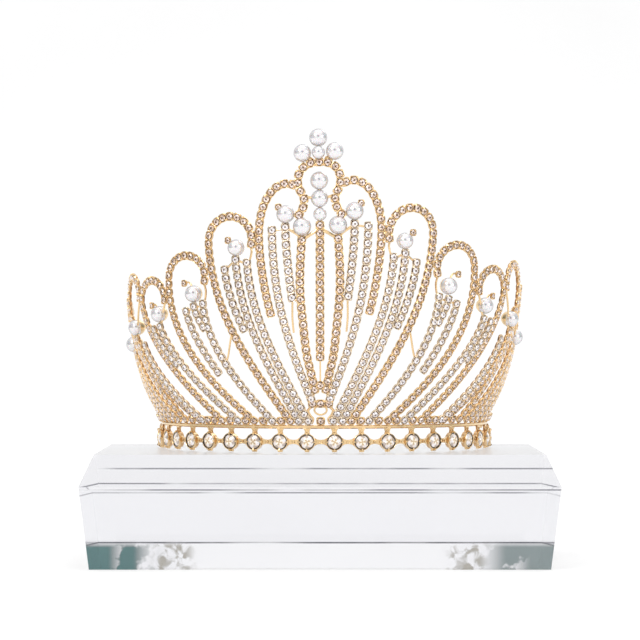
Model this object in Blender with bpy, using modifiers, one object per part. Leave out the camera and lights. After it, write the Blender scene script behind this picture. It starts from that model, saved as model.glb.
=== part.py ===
"""A crystal crown standing on a clear display block.

The crown is an open-backed tiara. Its wall rises from a round band of large cut
stones and flares outward. Arches of fine stone chain stand side by side along the
wall, each with strands that sweep down toward the middle of the front, and pearls
sit in the arches. Places on the wall are given by an angle from the front in
degrees, positive to the right as seen from the front, and a height above the rail.
"""

import math
from typing import NamedTuple

import bmesh
import bpy
from mathutils import Matrix, Vector

# Display block
BLOCK_WIDTH = 0.1954
BLOCK_DEPTH = 0.1400
BLOCK_HEIGHT = 0.0465
BLOCK_CHAMFER_IN = 0.0059
BLOCK_CHAMFER_DOWN = 0.0129
BLOCK_TAPER = 0.0040

# Wall of the crown
CROWN_X = 0.0019
CROWN_Y = 0.0260
CROWN_TURN = -1.3
RAIL_RADIUS = 0.0696
CREST_RADIUS = 0.0840
FLARE_HEIGHT = 0.0580
LEAN = 0.045
CREST_TWIST = -0.5
CREST_TWIST_FROM = 0.0860
CREST_HEIGHT = 0.1180

# Band
GAP = 0.0003
BAND_END = 102.5
BAND_DROP = 0.0104
RAIL_WIRE = 0.00075
BAND_STONES = 22
STONE_STEP = 9.2
STONE_DROP = 0.0062
STONE_RADIUS = 0.00265
CUP_WALL = 0.00035
CUP_DEPTH = 0.0026
CUP_FLOOR = 0.0005
CUP_STANDOFF = 0.0006
LINK_HEIGHT = 0.0030
LINK_THICKNESS = 0.0012
BRACKET_WIDTH = 0.0024
FOOT_WIDTH = 0.0016
END_LOOP_RADIUS = 0.0024
END_LOOP_WIRE = 0.0006

# Chains and wires
CHAIN_RADIUS = 0.0015
WIRE_RADIUS = 0.0006
CHAIN_STEP = 0.0092
HEAD_STEP = 0.0054
RAIL_STEP = 0.0086
FOOT_BEND = 0.0034
FOOT_HEIGHT = RAIL_WIRE + GAP
SWAG_DROP = 0.0035
SCROLL_RADIUS = 0.0021
SCROLL_HEIGHT = 0.0060
CUP_SIDES = 8
PEARL_SIDES = 10
PEARL_RINGS = 5

RAIL_HEIGHT = BLOCK_HEIGHT + GAP + BAND_DROP


class Arch(NamedTuple):
    """An arch: a half ellipse on the wall, a curl on its inner side and a leg on its outer side."""

    fan: int
    crest: float
    height: float
    half_width: float
    rise: float
    curl: float
    foot: float
    foot_height: float
    sweep: float


class Strand(NamedTuple):
    """A strand that sweeps down from its top to its foot."""

    fan: int
    top: float
    top_height: float
    foot: float
    foot_height: float
    sweep: float


class Pearl(NamedTuple):
    """A pearl in an arch."""

    angle: float
    height: float
    radius: float
    standoff: float


ARCHES = (
    #    fan crest height   half  rise    curl  foot  foot height  sweep
    Arch(1, 9.3, 0.0800, 8.0, 0.0203, -70.0, 13.8, 0.0460, 1.7),
    Arch(2, 26.35, 0.0780, 6.9, 0.0102, 18.0, 10.2, FOOT_BEND, 1.65),
    Arch(3, 41.8, 0.0635, 7.2, 0.0093, 20.0, 23.0, FOOT_BEND, 2.0),
    Arch(4, 58.0, 0.0545, 6.8, 0.0084, 12.0, 35.5, FOOT_BEND, 1.4),
    Arch(5, 73.6, 0.0560, 6.5, 0.0088, 12.0, 54.0, FOOT_BEND, 1.5),
    Arch(6, 89.2, 0.0470, 6.4, 0.0080, 12.0, 75.0, FOOT_BEND, 1.5),
)

STRANDS = (
    #      fan top   top height  foot  foot height  sweep
    Strand(1, 9.7, 0.0840, 7.7, 0.0520, 1.6),
    Strand(1, 13.5, 0.0830, 2.6, 0.0105, 2.0),
    Strand(2, 20.9, 0.0700, 4.2, FOOT_BEND, 1.6),
    Strand(2, 24.4, 0.0715, 7.3, FOOT_BEND, 1.6),
    Strand(2, 27.9, 0.0675, 22.0, 0.0400, 1.5),
    Strand(3, 35.4, 0.0535, 16.3, FOOT_BEND, 1.8),
    Strand(3, 38.9, 0.0525, 35.2, 0.0410, 1.5),
    Strand(3, 42.0, 0.0505, 32.0, 0.0220, 1.4),
    Strand(4, 54.5, 0.0443, 29.0, FOOT_BEND, 1.35),
    Strand(4, 58.3, 0.0430, 48.5, 0.0260, 1.4),
    Strand(5, 72.6, 0.0388, 46.0, FOOT_BEND, 1.45),
    Strand(5, 76.3, 0.0385, 67.0, 0.0240, 1.4),
    Strand(6, 88.0, 0.0313, 66.0, FOOT_BEND, 1.45),
    Strand(6, 91.7, 0.0310, 84.5, 0.0170, 1.4),
)

MIDDLE_PEARLS = (
    #     angle height  radius  standoff
    Pearl(0.0, 0.1183, 0.00345, 0.0),
    Pearl(0.0, 0.1122, 0.00250, 0.0022),
    Pearl(0.0, 0.1008, 0.00350, 0.0),
    Pearl(0.0, 0.0935, 0.00340, 0.0),
    Pearl(0.0, 0.0871, 0.00265, 0.0),
)

SIDE_PEARLS = (
    #     angle height  radius  standoff
    Pearl(4.5, 0.1124, 0.00340, 0.0),
    Pearl(5.0, 0.0824, 0.00360, 0.0),
    Pearl(9.7, 0.0878, 0.00350, 0.0),
    Pearl(24.4, 0.0750, 0.00320, 0.0),
    Pearl(38.9, 0.0564, 0.00330, 0.0),
    Pearl(54.5, 0.0482, 0.00320, 0.0),
    Pearl(72.6, 0.0426, 0.00320, 0.0),
    Pearl(88.0, 0.0351, 0.00320, 0.0),
)

# The middle omega loop, the right half from its top down to its curl: angle, height
OMEGA = (
    (0.0, 0.1084),
    (2.6, 0.1079),
    (4.9, 0.1057),
    (5.9, 0.1020),
    (5.7, 0.0983),
    (4.4, 0.0945),
    (4.5, 0.0908),
    (5.5, 0.0885),
)
MIDDLE_TOP = 0.0841
MIDDLE_FOOT = 0.0300
MIDDLE_TAIL = 0.0225
# The strand beside the middle one, from its top down to the point where both sides meet
BESIDE = (
    (5.0, 0.0784),
    (5.5, 0.0660),
    (5.5, 0.0550),
    (4.8, 0.0430),
    (3.9, 0.0300),
    (2.6, 0.0214),
    (0.0, 0.0165),
)


def wall_radius(height):
    """The radius of the wall at a height above the rail: it flares, then stands straight."""
    below = min(1.0, max(0.0, (FLARE_HEIGHT - height) / FLARE_HEIGHT))
    return CREST_RADIUS - (CREST_RADIUS - RAIL_RADIUS) * below**2


def turned_angle(angle, height):
    """The angle as the crown stands, in radians: it is turned, and its crest is twisted a little more."""
    share = max(0.0, (height - CREST_TWIST_FROM) / (CREST_HEIGHT - CREST_TWIST_FROM))
    return math.radians(angle + CROWN_TURN + CREST_TWIST * share)


def wall_point(angle, height, standoff=0.0):
    """The point on the wall at an angle and a height, moved outward by standoff."""
    turned = turned_angle(angle, height)
    radius = wall_radius(height) + standoff
    leaned = height * (1.0 + LEAN * math.sin(math.radians(angle)))
    return Vector(
        (
            CROWN_X + radius * math.sin(turned),
            CROWN_Y - radius * math.cos(turned),
            RAIL_HEIGHT + leaned,
        )
    )


def wall_frame(angle, height, standoff=0.0):
    """A placement on the wall: local Z points outward, local Y points up."""
    turned = turned_angle(angle, height)
    outward = Vector((math.sin(turned), -math.cos(turned), 0.0))
    along = Vector((math.cos(turned), math.sin(turned), 0.0))
    up = Vector((0.0, 0.0, 1.0))
    frame = Matrix((along, up, outward)).transposed().to_4x4()
    return Matrix.Translation(wall_point(angle, height, standoff)) @ frame


def sweep_route(top, top_height, foot, foot_height, sweep, steps):
    """A route down the wall that starts steep and leans over toward the foot.

    One that reaches the rail stands on it with a short upright piece.
    """
    route = []
    for step in range(steps + 1):
        down = step / steps
        angle = foot + (top - foot) * (1.0 - down**sweep)
        route.append((angle, top_height + (foot_height - top_height) * down))
    if foot_height == FOOT_BEND:
        route.append((foot, FOOT_HEIGHT))
    return route


def arch_route(arch):
    """The route of an arch from its curl, over its crest and down its leg."""
    start = math.radians(180.0 + arch.curl)
    width = math.radians(arch.half_width) * CREST_RADIUS
    steps = max(3, round(start * (width + arch.rise) / 2 / HEAD_STEP))
    head = [
        (
            arch.crest + arch.half_width * math.cos(start * (1.0 - step / steps)),
            arch.height + arch.rise * math.sin(start * (1.0 - step / steps)),
        )
        for step in range(steps)
    ]
    side = arch.crest + arch.half_width
    return head + sweep_route(
        side, arch.height, arch.foot, arch.foot_height, arch.sweep, leg_steps(arch.height, arch)
    )


def leg_steps(top_height, row):
    """The number of straight pieces in a leg or a strand that ends at the row's foot."""
    side = getattr(row, "top", None) or row.crest + row.half_width
    across = math.radians(side - row.foot) * CREST_RADIUS
    return max(2, round(math.hypot(top_height - row.foot_height, across) / CHAIN_STEP))


def strand_route(strand):
    """The route of a strand from its top to its foot."""
    return sweep_route(
        strand.top,
        strand.top_height,
        strand.foot,
        strand.foot_height,
        strand.sweep,
        leg_steps(strand.top_height, strand),
    )


def mirrored(route):
    """The same route on the other side of the front."""
    return [(-angle, height) for angle, height in route]


def height_on(route, height):
    """The angle at which a falling route passes a height."""
    for (angle_a, high), (angle_b, low) in zip(route, route[1:]):
        if high >= height >= low and high > low:
            return angle_a + (angle_b - angle_a) * (high - height) / (high - low)
    return route[-1][0]


def new_collection(name, parent):
    """A collection under another one."""
    made = bpy.data.collections.new(name)
    parent.children.link(made)
    return made


def new_material(name, colour, roughness, metallic, transmission=0.0):
    """A Principled material."""
    made = bpy.data.materials.new(name)
    made.use_nodes = True
    made.diffuse_color = (*colour, 1.0)
    shader = made.node_tree.nodes["Principled BSDF"]
    shader.inputs["Base Color"].default_value = (*colour, 1.0)
    shader.inputs["Roughness"].default_value = roughness
    shader.inputs["Metallic"].default_value = metallic
    shader.inputs["Transmission Weight"].default_value = transmission
    return made


def place(name, mesh, collection, material, matrix=None):
    """An object of a mesh in a collection."""
    made = bpy.data.objects.new(name, mesh)
    made.matrix_world = matrix or Matrix.Identity(4)
    collection.objects.link(made)
    if not mesh.materials:
        mesh.materials.append(material)
    return made


def hide(made):
    """Marks an operand of a Boolean."""
    made.hide_render = True
    made.display_type = "WIRE"
    return made


def tube(name, points, radius, collection, material):
    """A closed tube through points, as a mesh: eight sides, or six on a thin wire."""
    curve = bpy.data.curves.new(name, "CURVE")
    curve.dimensions = "3D"
    curve.bevel_depth = radius
    curve.bevel_resolution = 2 if radius > WIRE_RADIUS else 1
    curve.use_fill_caps = True
    spline = curve.splines.new("POLY")
    spline.points.add(len(points) - 1)
    for slot, point in zip(spline.points, points):
        slot.co = (*point, 1.0)
    drawn = bpy.data.objects.new(name, curve)
    collection.objects.link(drawn)
    bpy.context.view_layer.update()
    graph = bpy.context.evaluated_depsgraph_get()
    mesh = bpy.data.meshes.new_from_object(drawn.evaluated_get(graph))
    bpy.data.objects.remove(drawn)
    body = bmesh.new()
    body.from_mesh(mesh)
    bmesh.ops.remove_doubles(body, verts=body.verts, dist=1e-6)
    bmesh.ops.recalc_face_normals(body, faces=body.faces)
    body.to_mesh(mesh)
    body.free()
    mesh.materials.clear()
    return place(name, mesh, collection, material)


def box_mesh(name, width, height, depth):
    """A box about its middle."""
    body = bmesh.new()
    bmesh.ops.create_cube(body, size=1.0)
    bmesh.ops.scale(body, vec=(width, height, depth), verts=body.verts)
    mesh = bpy.data.meshes.new(name)
    body.to_mesh(mesh)
    body.free()
    return mesh


def turned_mesh(name, profile, sides):
    """A profile of radius and height turned about Z by a Screw modifier and kept as a mesh."""
    line = bpy.data.meshes.new(name + "_profile")
    corners = [(radius, 0.0, height) for radius, height in profile]
    line.from_pydata(corners, [(i, i + 1) for i in range(len(corners) - 1)], [])
    drawn = bpy.data.objects.new(name + "_profile", line)
    bpy.context.scene.collection.objects.link(drawn)
    screw = drawn.modifiers.new("turn", "SCREW")
    screw.steps = screw.render_steps = sides
    screw.use_merge_vertices = True
    screw.merge_threshold = 1e-6
    screw.use_smooth_shade = False
    bpy.context.view_layer.update()
    graph = bpy.context.evaluated_depsgraph_get()
    mesh = bpy.data.meshes.new_from_object(drawn.evaluated_get(graph))
    mesh.name = name
    bpy.data.objects.remove(drawn)
    return mesh


def unite(target, operands):
    """Joins every object of a collection to the target as one body."""
    join = target.modifiers.new("solder", "BOOLEAN")
    join.operation = "UNION"
    join.solver = "EXACT"
    join.operand_type = "COLLECTION"
    join.collection = operands


def make_motif(name, chains, wires, parts, cutters, gold):
    """One soldered motif of chains and wires given as routes on the wall."""
    operands = new_collection(name + "_solder", cutters)
    tubes = [(route, CHAIN_RADIUS) for route in chains]
    tubes += [(route, WIRE_RADIUS) for route in wires]
    target = None
    for number, (route, radius) in enumerate(tubes):
        points = [wall_point(angle, height) for angle, height in route]
        if target is None:
            target = tube(name, points, radius, parts, gold)
        else:
            hide(tube(f"{name}_tube_{number}", points, radius, operands, gold))
    unite(target, operands)
    return target


def make_block(parts, glass):
    """The display block: straight top, chamfered shoulders and sides that draw in a little."""
    shoulder = BLOCK_HEIGHT - BLOCK_CHAMFER_DOWN
    levels = (
        (0.0, BLOCK_TAPER),
        (shoulder, 0.0),
        (BLOCK_HEIGHT, BLOCK_CHAMFER_IN),
    )
    body = bmesh.new()
    rings = []
    for height, inset in levels:
        half_x = BLOCK_WIDTH / 2 - inset
        half_y = BLOCK_DEPTH / 2 - inset
        corners = ((-half_x, -half_y), (half_x, -half_y), (half_x, half_y), (-half_x, half_y))
        rings.append([body.verts.new((x, y, height)) for x, y in corners])
    body.faces.new(reversed(rings[0]))
    body.faces.new(rings[-1])
    for low, high in zip(rings, rings[1:]):
        for side in range(4):
            after = (side + 1) % 4
            body.faces.new((low[side], low[after], high[after], high[side]))
    mesh = bpy.data.meshes.new("display_block")
    body.to_mesh(mesh)
    body.free()
    return place("display_block", mesh, parts, glass)


def stone_angles():
    """The angle of each band stone, from left to right."""
    first = -STONE_STEP * (BAND_STONES - 1) / 2
    return [first + STONE_STEP * number for number in range(BAND_STONES)]


def make_band(parts, cutters, gold):
    """The rail, cups, links, brackets, feet and end loops of the band as one body."""
    operands = new_collection("band_solder", cutters)
    count = round(math.radians(2 * BAND_END) * RAIL_RADIUS / RAIL_STEP)
    rail = [
        wall_point(-BAND_END + 2 * BAND_END * step / count, 0.0) for step in range(count + 1)
    ]
    target = tube("band", rail, RAIL_WIRE, parts, gold)
    flat = math.cos(math.pi / CUP_SIDES)
    inner = (STONE_RADIUS + GAP) / flat
    outer = inner + CUP_WALL
    weld = (inner + outer) / 2
    half = CUP_DEPTH / 2
    cup_profile = (
        (0.0, CUP_FLOOR - half),
        (inner, CUP_FLOOR - half),
        (inner, half),
        (outer, half),
        (outer, -half),
        (0.0, -half),
    )
    cup = turned_mesh("cup", cup_profile, CUP_SIDES)
    spacing = math.radians(STONE_STEP) * (RAIL_RADIUS + CUP_STANDOFF)
    link_length = spacing - 2 * weld
    link = box_mesh("link", link_length, LINK_HEIGHT, LINK_THICKNESS)
    bracket_height = STONE_DROP - weld * flat
    bracket = box_mesh("bracket", BRACKET_WIDTH, bracket_height, LINK_THICKNESS)
    foot_height = BAND_DROP - STONE_DROP - weld * flat
    foot = box_mesh("foot", FOOT_WIDTH, foot_height, LINK_THICKNESS)
    angles = stone_angles()
    for number, angle in enumerate(angles, 1):
        seat = wall_frame(angle, 0.0, CUP_STANDOFF)
        for kind, mesh, height in (
            ("cup", cup, -STONE_DROP),
            ("bracket", bracket, -bracket_height / 2),
            ("foot", foot, -BAND_DROP + foot_height / 2),
        ):
            spot = seat @ Matrix.Translation((0.0, height, 0.0))
            hide(place(f"{kind}_{number}", mesh, operands, gold, spot))
    for number, angle in enumerate(angles[:-1], 1):
        spot = wall_frame(angle + STONE_STEP / 2, 0.0, CUP_STANDOFF - 0.0002)
        spot = spot @ Matrix.Translation((0.0, -STONE_DROP, 0.0))
        hide(place(f"link_{number}", link, operands, gold, spot))
    reach = math.degrees(END_LOOP_RADIUS / RAIL_RADIUS)
    for side in (-1, 1):
        bpy.ops.mesh.primitive_torus_add(
            major_radius=END_LOOP_RADIUS,
            minor_radius=END_LOOP_WIRE,
            major_segments=12,
            minor_segments=6,
        )
        loop = bpy.context.object
        loop.name = f"end_loop_{side}"
        loop.matrix_world = wall_frame(side * (BAND_END + reach), 0.0)
        for holder in list(loop.users_collection):
            holder.objects.unlink(loop)
        operands.objects.link(loop)
        loop.data.materials.append(gold)
        hide(loop)
    unite(target, operands)
    return target


def make_band_stones(parts, crystal):
    """The cut stones of the band, each with a table, eight crown facets and eight below."""
    face = CUP_DEPTH / 2
    girdle = face - 0.0006
    profile = (
        (0.0, face + 0.0006),
        (STONE_RADIUS * 0.58, face + 0.0006),
        (STONE_RADIUS, girdle + 0.0003),
        (STONE_RADIUS, girdle),
        (0.0, CUP_FLOOR + GAP - CUP_DEPTH / 2),
    )
    stone = turned_mesh("band_stone", profile, 8)
    for number, angle in enumerate(stone_angles(), 1):
        spot = wall_frame(angle, 0.0, CUP_STANDOFF) @ Matrix.Translation((0.0, -STONE_DROP, 0.0))
        place(f"band_stone_{number:02d}", stone, parts, crystal, spot)


def make_pearls(parts, nacre):
    """The pearls, from the crest down and then from the middle to the sides."""
    pearls = list(MIDDLE_PEARLS)
    for pearl in SIDE_PEARLS:
        pearls += [pearl._replace(angle=-pearl.angle), pearl]
    for number, pearl in enumerate(pearls, 1):
        body = bmesh.new()
        bmesh.ops.create_uvsphere(
            body, u_segments=PEARL_SIDES, v_segments=PEARL_RINGS, radius=pearl.radius
        )
        mesh = bpy.data.meshes.new(f"pearl_{number:02d}")
        body.to_mesh(mesh)
        body.free()
        mesh.shade_smooth()
        spot = Matrix.Translation(wall_point(pearl.angle, pearl.height, pearl.standoff))
        place(f"pearl_{number:02d}", mesh, parts, nacre, spot)


def ring_route(height, radius, sides):
    """A closed ring on the front of the wall, drawn past its start so that its ends meet."""
    wide = math.degrees(1.0 / wall_radius(height))
    return [
        (
            radius * wide * math.sin(2 * math.pi * step / sides),
            height + radius * math.cos(2 * math.pi * step / sides),
        )
        for step in range(sides + 2)
    ]


def make_centre_fan(parts, cutters, gold):
    """The middle strand, the strand on each side of it and the scroll ring at their foot."""
    steps = round((MIDDLE_TOP - MIDDLE_FOOT) / CHAIN_STEP)
    drop = MIDDLE_TOP - MIDDLE_FOOT
    middle = [(0.0, MIDDLE_TOP - drop * step / steps) for step in range(steps + 1)]
    meet = BESIDE[-1][1]
    chains = [middle, BESIDE, mirrored(BESIDE)]
    angle, height = BESIDE[0][0], BESIDE[0][1] - SWAG_DROP
    swag = [(-angle, height), (0.0, MIDDLE_TOP - SWAG_DROP), (angle, height)]
    wires = [
        swag,
        [(0.0, MIDDLE_FOOT + WIRE_RADIUS), (0.0, MIDDLE_TAIL), (0.0, meet)],
        [(0.0, meet), (0.0, SCROLL_HEIGHT + SCROLL_RADIUS)],
        ring_route(SCROLL_HEIGHT, SCROLL_RADIUS, 12),
        [(0.0, SCROLL_HEIGHT - SCROLL_RADIUS), (0.0, FOOT_HEIGHT)],
    ]
    make_motif("centre_fan", chains, wires, parts, cutters, gold)


def make_crest(parts, cutters, gold):
    """The middle omega loop with the first arch and its strands on both sides."""
    arch = arch_route(ARCHES[0])
    strands = [strand_route(strand) for strand in STRANDS if strand.fan == 1]
    omega = mirrored(reversed(OMEGA[1:])) + list(OMEGA)
    chains = [omega]
    wires = []
    for flip in (list, mirrored):
        chains += [flip(route) for route in [arch, *strands]]
        tops = [route[0] for route in strands]
        swag_height = tops[-1][1] - SWAG_DROP
        swag = [(tops[0][0], swag_height), (tops[1][0], swag_height)]
        swag.append((height_on(arch, swag_height), swag_height))
        wires.append(flip(swag))
        wires.append(flip([(OMEGA[3][0], OMEGA[3][1] - 0.0005), arch[0]]))
    make_motif("crest", chains, wires, parts, cutters, gold)


def make_fans(parts, cutters, gold):
    """The outer arches, each with its strands and the swag wire that joins their tops."""
    for arch in ARCHES[1:]:
        route = arch_route(arch)
        strands = [strand_route(strand) for strand in STRANDS if strand.fan == arch.fan]
        first = strands[0][0][1] - SWAG_DROP
        swag = [route[0], (route[0][0], first)]
        for strand in strands:
            top = strand[0][1] - SWAG_DROP
            swag.append((height_on(strand, top), top))
        leg = route[len(route) // 3 :]
        leg_height = swag[-1][1] + 0.001
        swag.append((height_on(leg, leg_height), leg_height))
        for side, flip in (("right", list), ("left", mirrored)):
            chains = [flip(line) for line in [route, *strands]]
            name = f"fan_{side}_{arch.fan}"
            make_motif(name, chains, [flip(swag)], parts, cutters, gold)


def main():
    """Builds the crown and its block."""
    for old in list(bpy.data.objects):
        bpy.data.objects.remove(old, do_unlink=True)
    root = bpy.context.scene.collection
    parts = new_collection("crystal_crown", root)
    cutters = new_collection("cutters", root)
    gold = new_material("pale_gold", (0.83, 0.58, 0.32), 0.22, 1.0)
    crystal = new_material("crystal", (0.95, 0.94, 0.96), 0.03, 0.0, 0.9)
    nacre = new_material("pearl", (0.93, 0.91, 0.92), 0.18, 0.0)
    glass = new_material("clear_block", (0.96, 0.97, 0.98), 0.02, 0.0, 1.0)
    make_block(parts, glass)
    make_band(parts, cutters, gold)
    make_band_stones(parts, crystal)
    make_crest(parts, cutters, gold)
    make_centre_fan(parts, cutters, gold)
    make_fans(parts, cutters, gold)
    make_pearls(parts, nacre)


main()
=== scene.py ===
"""Looks of a crystal crown on its clear display block.

The frame holds the solids. Here every strand becomes a chain of claw cups with a
cut stone in each, the band gets its settings, links and brackets, the pearls get
their lustre and their gold caps, and the block gets polished, softened edges.
Places on the wall are an angle from the front in degrees and a height above the
rail in metres, as in the crown's own design.
"""

import logging
import math
import random
from dataclasses import dataclass, replace
from enum import Enum
from typing import Iterable, Sequence

import bmesh
import bpy
import numpy as np
from mathutils import Matrix, Vector


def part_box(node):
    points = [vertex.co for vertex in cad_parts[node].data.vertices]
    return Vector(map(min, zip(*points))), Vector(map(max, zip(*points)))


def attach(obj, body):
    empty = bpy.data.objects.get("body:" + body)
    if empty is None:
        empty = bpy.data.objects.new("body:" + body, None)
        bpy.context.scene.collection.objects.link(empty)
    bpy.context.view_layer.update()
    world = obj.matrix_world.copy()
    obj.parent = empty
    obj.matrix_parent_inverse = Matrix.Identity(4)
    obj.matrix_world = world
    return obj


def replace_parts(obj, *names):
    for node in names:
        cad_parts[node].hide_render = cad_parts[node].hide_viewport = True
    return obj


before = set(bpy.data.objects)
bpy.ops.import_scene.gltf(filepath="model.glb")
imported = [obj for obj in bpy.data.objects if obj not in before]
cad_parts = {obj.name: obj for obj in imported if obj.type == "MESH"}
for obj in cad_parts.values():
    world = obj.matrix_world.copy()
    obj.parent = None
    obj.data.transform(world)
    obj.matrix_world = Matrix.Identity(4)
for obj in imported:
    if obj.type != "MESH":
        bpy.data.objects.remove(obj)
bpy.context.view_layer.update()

LOG = logging.getLogger("crown")
MM = 0.001
UP = Vector((0.0, 0.0, 1.0))

# The height of a strand's last place where it stands on the rail.
FOOT = 2.6 * MM
# The distance of the last cup's middle from the end of a strand that hangs free.
TIP_GAP = 1.4 * MM
# How far the girdles of the small stones stand out from the wall.
STANDOFF = 0.35 * MM

Pair = tuple[float, float]
Route = list[Pair]
Places = tuple[Pair, ...]
Triple = tuple[float, float, float]
Colour = tuple[float, float, float]
Palette = tuple[Colour, ...]
Socket = bpy.types.NodeSocket


class Side(Enum):
    """The two sides of the crown, as seen from the front."""

    LEFT = -1
    RIGHT = 1


class Slot(Enum):
    """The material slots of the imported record."""

    GOLD = "pale_gold"
    CRYSTAL = "crystal"
    PEARL = "pearl"
    BLOCK = "clear_block"


def in_mm(rows: Iterable[Sequence[float]]) -> list[tuple[float, ...]]:
    """Rows of sizes in millimetres, as metres."""
    return [tuple(value * MM for value in row) for row in rows]


def places(*rows: Pair) -> Places:
    """Places on the wall, from angles in degrees and heights in millimetres."""
    return tuple((angle, height * MM) for angle, height in rows)


def circle(steps: int) -> list[Pair]:
    """The cosine and sine of equal steps round a circle."""
    return [(math.cos(math.tau * step / steps), math.sin(math.tau * step / steps)) for step in range(steps)]


def placement(along: Vector, up: Vector, out: Vector, place: Vector) -> Matrix:
    """The placement at a place that takes local X, Y and Z along three directions."""
    return Matrix.Translation(place) @ Matrix((along, up, out)).transposed().to_4x4()


@dataclass(frozen=True)
class Wall:
    """The flared wall of the crown, on which everything is placed."""

    centre_x: float = 1.9 * MM
    centre_y: float = 26.0 * MM
    turn: float = -1.3
    rail_radius: float = 69.6 * MM
    crest_radius: float = 84.0 * MM
    flare_height: float = 58.0 * MM
    lean: float = 0.045
    crest_twist: float = -0.5
    twist_from: float = 86.0 * MM
    crest_height: float = 118.0 * MM
    band_drop: float = 10.4 * MM
    gap: float = 0.3 * MM

    @property
    def rail_height(self) -> float:
        """The height of the rail's middle above the floor."""
        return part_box("display_block")[1][2] + self.gap + self.band_drop

    def radius(self, height: float) -> float:
        """The wall's radius about the crown's axis, at a height above the rail."""
        below = min(1.0, max(0.0, (self.flare_height - height) / self.flare_height))
        return self.crest_radius - (self.crest_radius - self.rail_radius) * below**2

    def point(self, angle: float, height: float, standoff: float = 0.0) -> Vector:
        """A point on the wall.

        Args:
            angle: Degrees from the front, positive to the right.
            height: Height above the rail before the lean.
            standoff: Distance outward from the wall.

        Returns:
            The point in the frame.
        """
        share = max(0.0, (height - self.twist_from) / (self.crest_height - self.twist_from))
        turned = math.radians(angle + self.turn + self.crest_twist * share)
        radius = self.radius(height) + standoff
        leaned = height * (1.0 + self.lean * math.sin(math.radians(angle)))
        x = self.centre_x + radius * math.sin(turned)
        y = self.centre_y - radius * math.cos(turned)
        return Vector((x, y, self.rail_height + leaned))

    def outward(self, angle: float, height: float) -> Vector:
        """The wall's outward normal at a place.

        Args:
            angle: Degrees from the front.
            height: Height above the rail.

        Returns:
            A unit vector that points away from the wearer.
        """
        across = self.point(angle + 0.1, height) - self.point(angle - 0.1, height)
        up = self.point(angle, height + 0.1 * MM) - self.point(angle, height - 0.1 * MM)
        return across.cross(up).normalized()

    def seat(self, angle: float, height: float, standoff: float = 0.0) -> Matrix:
        """A placement on the wall with local Z outward and local Y up the wall.

        Args:
            angle: Degrees from the front.
            height: Height above the rail.
            standoff: Distance outward from the wall.

        Returns:
            The placement matrix.
        """
        out = self.outward(angle, height)
        along = UP.cross(out).normalized()
        return placement(along, out.cross(along), out, self.point(angle, height) + out * standoff)

    def band_seat(self, angle: float, height: float, standoff: float = 0.0) -> Matrix:
        """A placement on the upright band with local Z straight outward.

        Args:
            angle: Degrees from the front.
            height: Height above the rail, negative on the band.
            standoff: Distance outward from the rail's circle.

        Returns:
            The placement matrix.
        """
        turned = math.radians(angle + self.turn)
        out = Vector((math.sin(turned), -math.cos(turned), 0.0))
        along = Vector((math.cos(turned), math.sin(turned), 0.0))
        return placement(along, UP, out, self.point(angle, 0.0) + out * standoff + UP * height)


WALL = Wall()


def flipped(route: Iterable[Pair], side: Side) -> Route:
    """A route of the right side on the side that is asked for."""
    return [(side.value * angle, height) for angle, height in route]


def between(before: float, start: float, end: float, after: float, share: float) -> float:
    """A value on the smooth curve between two of four values.

    Args:
        before: The value before the start.
        start: The value at share 0.
        end: The value at share 1.
        after: The value after the end.
        share: How far along the curve.

    Returns:
        The value there.
    """
    square = 2 * before - 5 * start + 4 * end - after
    cube = 3 * start - before - 3 * end + after
    return 0.5 * (2 * start + (end - before) * share + square * share**2 + cube * share**3)


def smooth_route(knots: Sequence[Pair], parts: int = 8) -> Route:
    """A smooth curve through knots, as many short pieces.

    Args:
        knots: Places on the wall.
        parts: Pieces between two knots.

    Returns:
        The finer route.
    """
    ends = [knots[0], *knots, knots[-1]]
    route: Route = []
    for four in zip(ends, ends[1:], ends[2:], ends[3:]):
        for step in range(parts):
            route.append(tuple(between(*values, step / parts) for values in zip(*four)))
    return [*route, tuple(knots[-1])]


@dataclass
class Template:
    """A small mesh that is stamped many times.

    Its loops are kept flat, so that many stamps join quickly.
    """

    points: np.ndarray
    corners: np.ndarray
    totals: np.ndarray
    colours: np.ndarray | None = None

    @classmethod
    def of(cls, points: Sequence[Sequence[float]], faces: Sequence[Sequence[int]]) -> "Template":
        """Makes a template.

        Args:
            points: Its points.
            faces: The numbers of the points round each face.

        Returns:
            The template, without colours.
        """
        flat = np.array([corner for face in faces for corner in face], np.int32)
        totals = np.array([len(face) for face in faces], np.int32)
        return cls(np.array(points, np.float64), flat, totals)

    def joined(self, *others: "Template") -> "Template":
        """This template and others as one.

        Args:
            others: The others, with colours where this one has them.

        Returns:
            The joined template.
        """
        every = [self, *others]
        starts = np.cumsum([0] + [len(one.points) for one in every[:-1]])
        return Template(
            np.concatenate([one.points for one in every]),
            np.concatenate([one.corners + start for one, start in zip(every, starts)]).astype(np.int32),
            np.concatenate([one.totals for one in every]),
            None if self.colours is None else np.concatenate([one.colours for one in every]),
        )

    def shaded(self, top: float, bottom: float, back: float) -> "Template":
        """The template with painted shade low down, where the folds of a setting are in shadow.

        Args:
            top: Local height in millimetres from which the metal is plain.
            bottom: Local height in millimetres at which it is deepest.
            back: Local height in millimetres under which it is plain, as on the reverse.

        Returns:
            The template, with the depth of the painted shade in its second colour channel.
        """
        starts = np.concatenate([[0], np.cumsum(self.totals)[:-1]])
        heights = np.add.reduceat(self.points[self.corners, 2], starts) / self.totals / MM
        # Painted shade: faces low in a setting get more depth, which darkens the gold as shadow would.
        depth = np.clip((top - heights) / (top - bottom), 0.0, 1.0)
        self.colours = np.zeros((len(self.totals), 4))
        self.colours[:, 1] = np.where(heights < back, 0.0, depth)
        return self

    def moved(self, matrix: Matrix) -> "Template":
        """The template placed by a matrix."""
        points = self.points @ np.array(matrix.to_3x3()).T + np.array(matrix.translation)
        return Template(points, self.corners, self.totals, self.colours)


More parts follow.
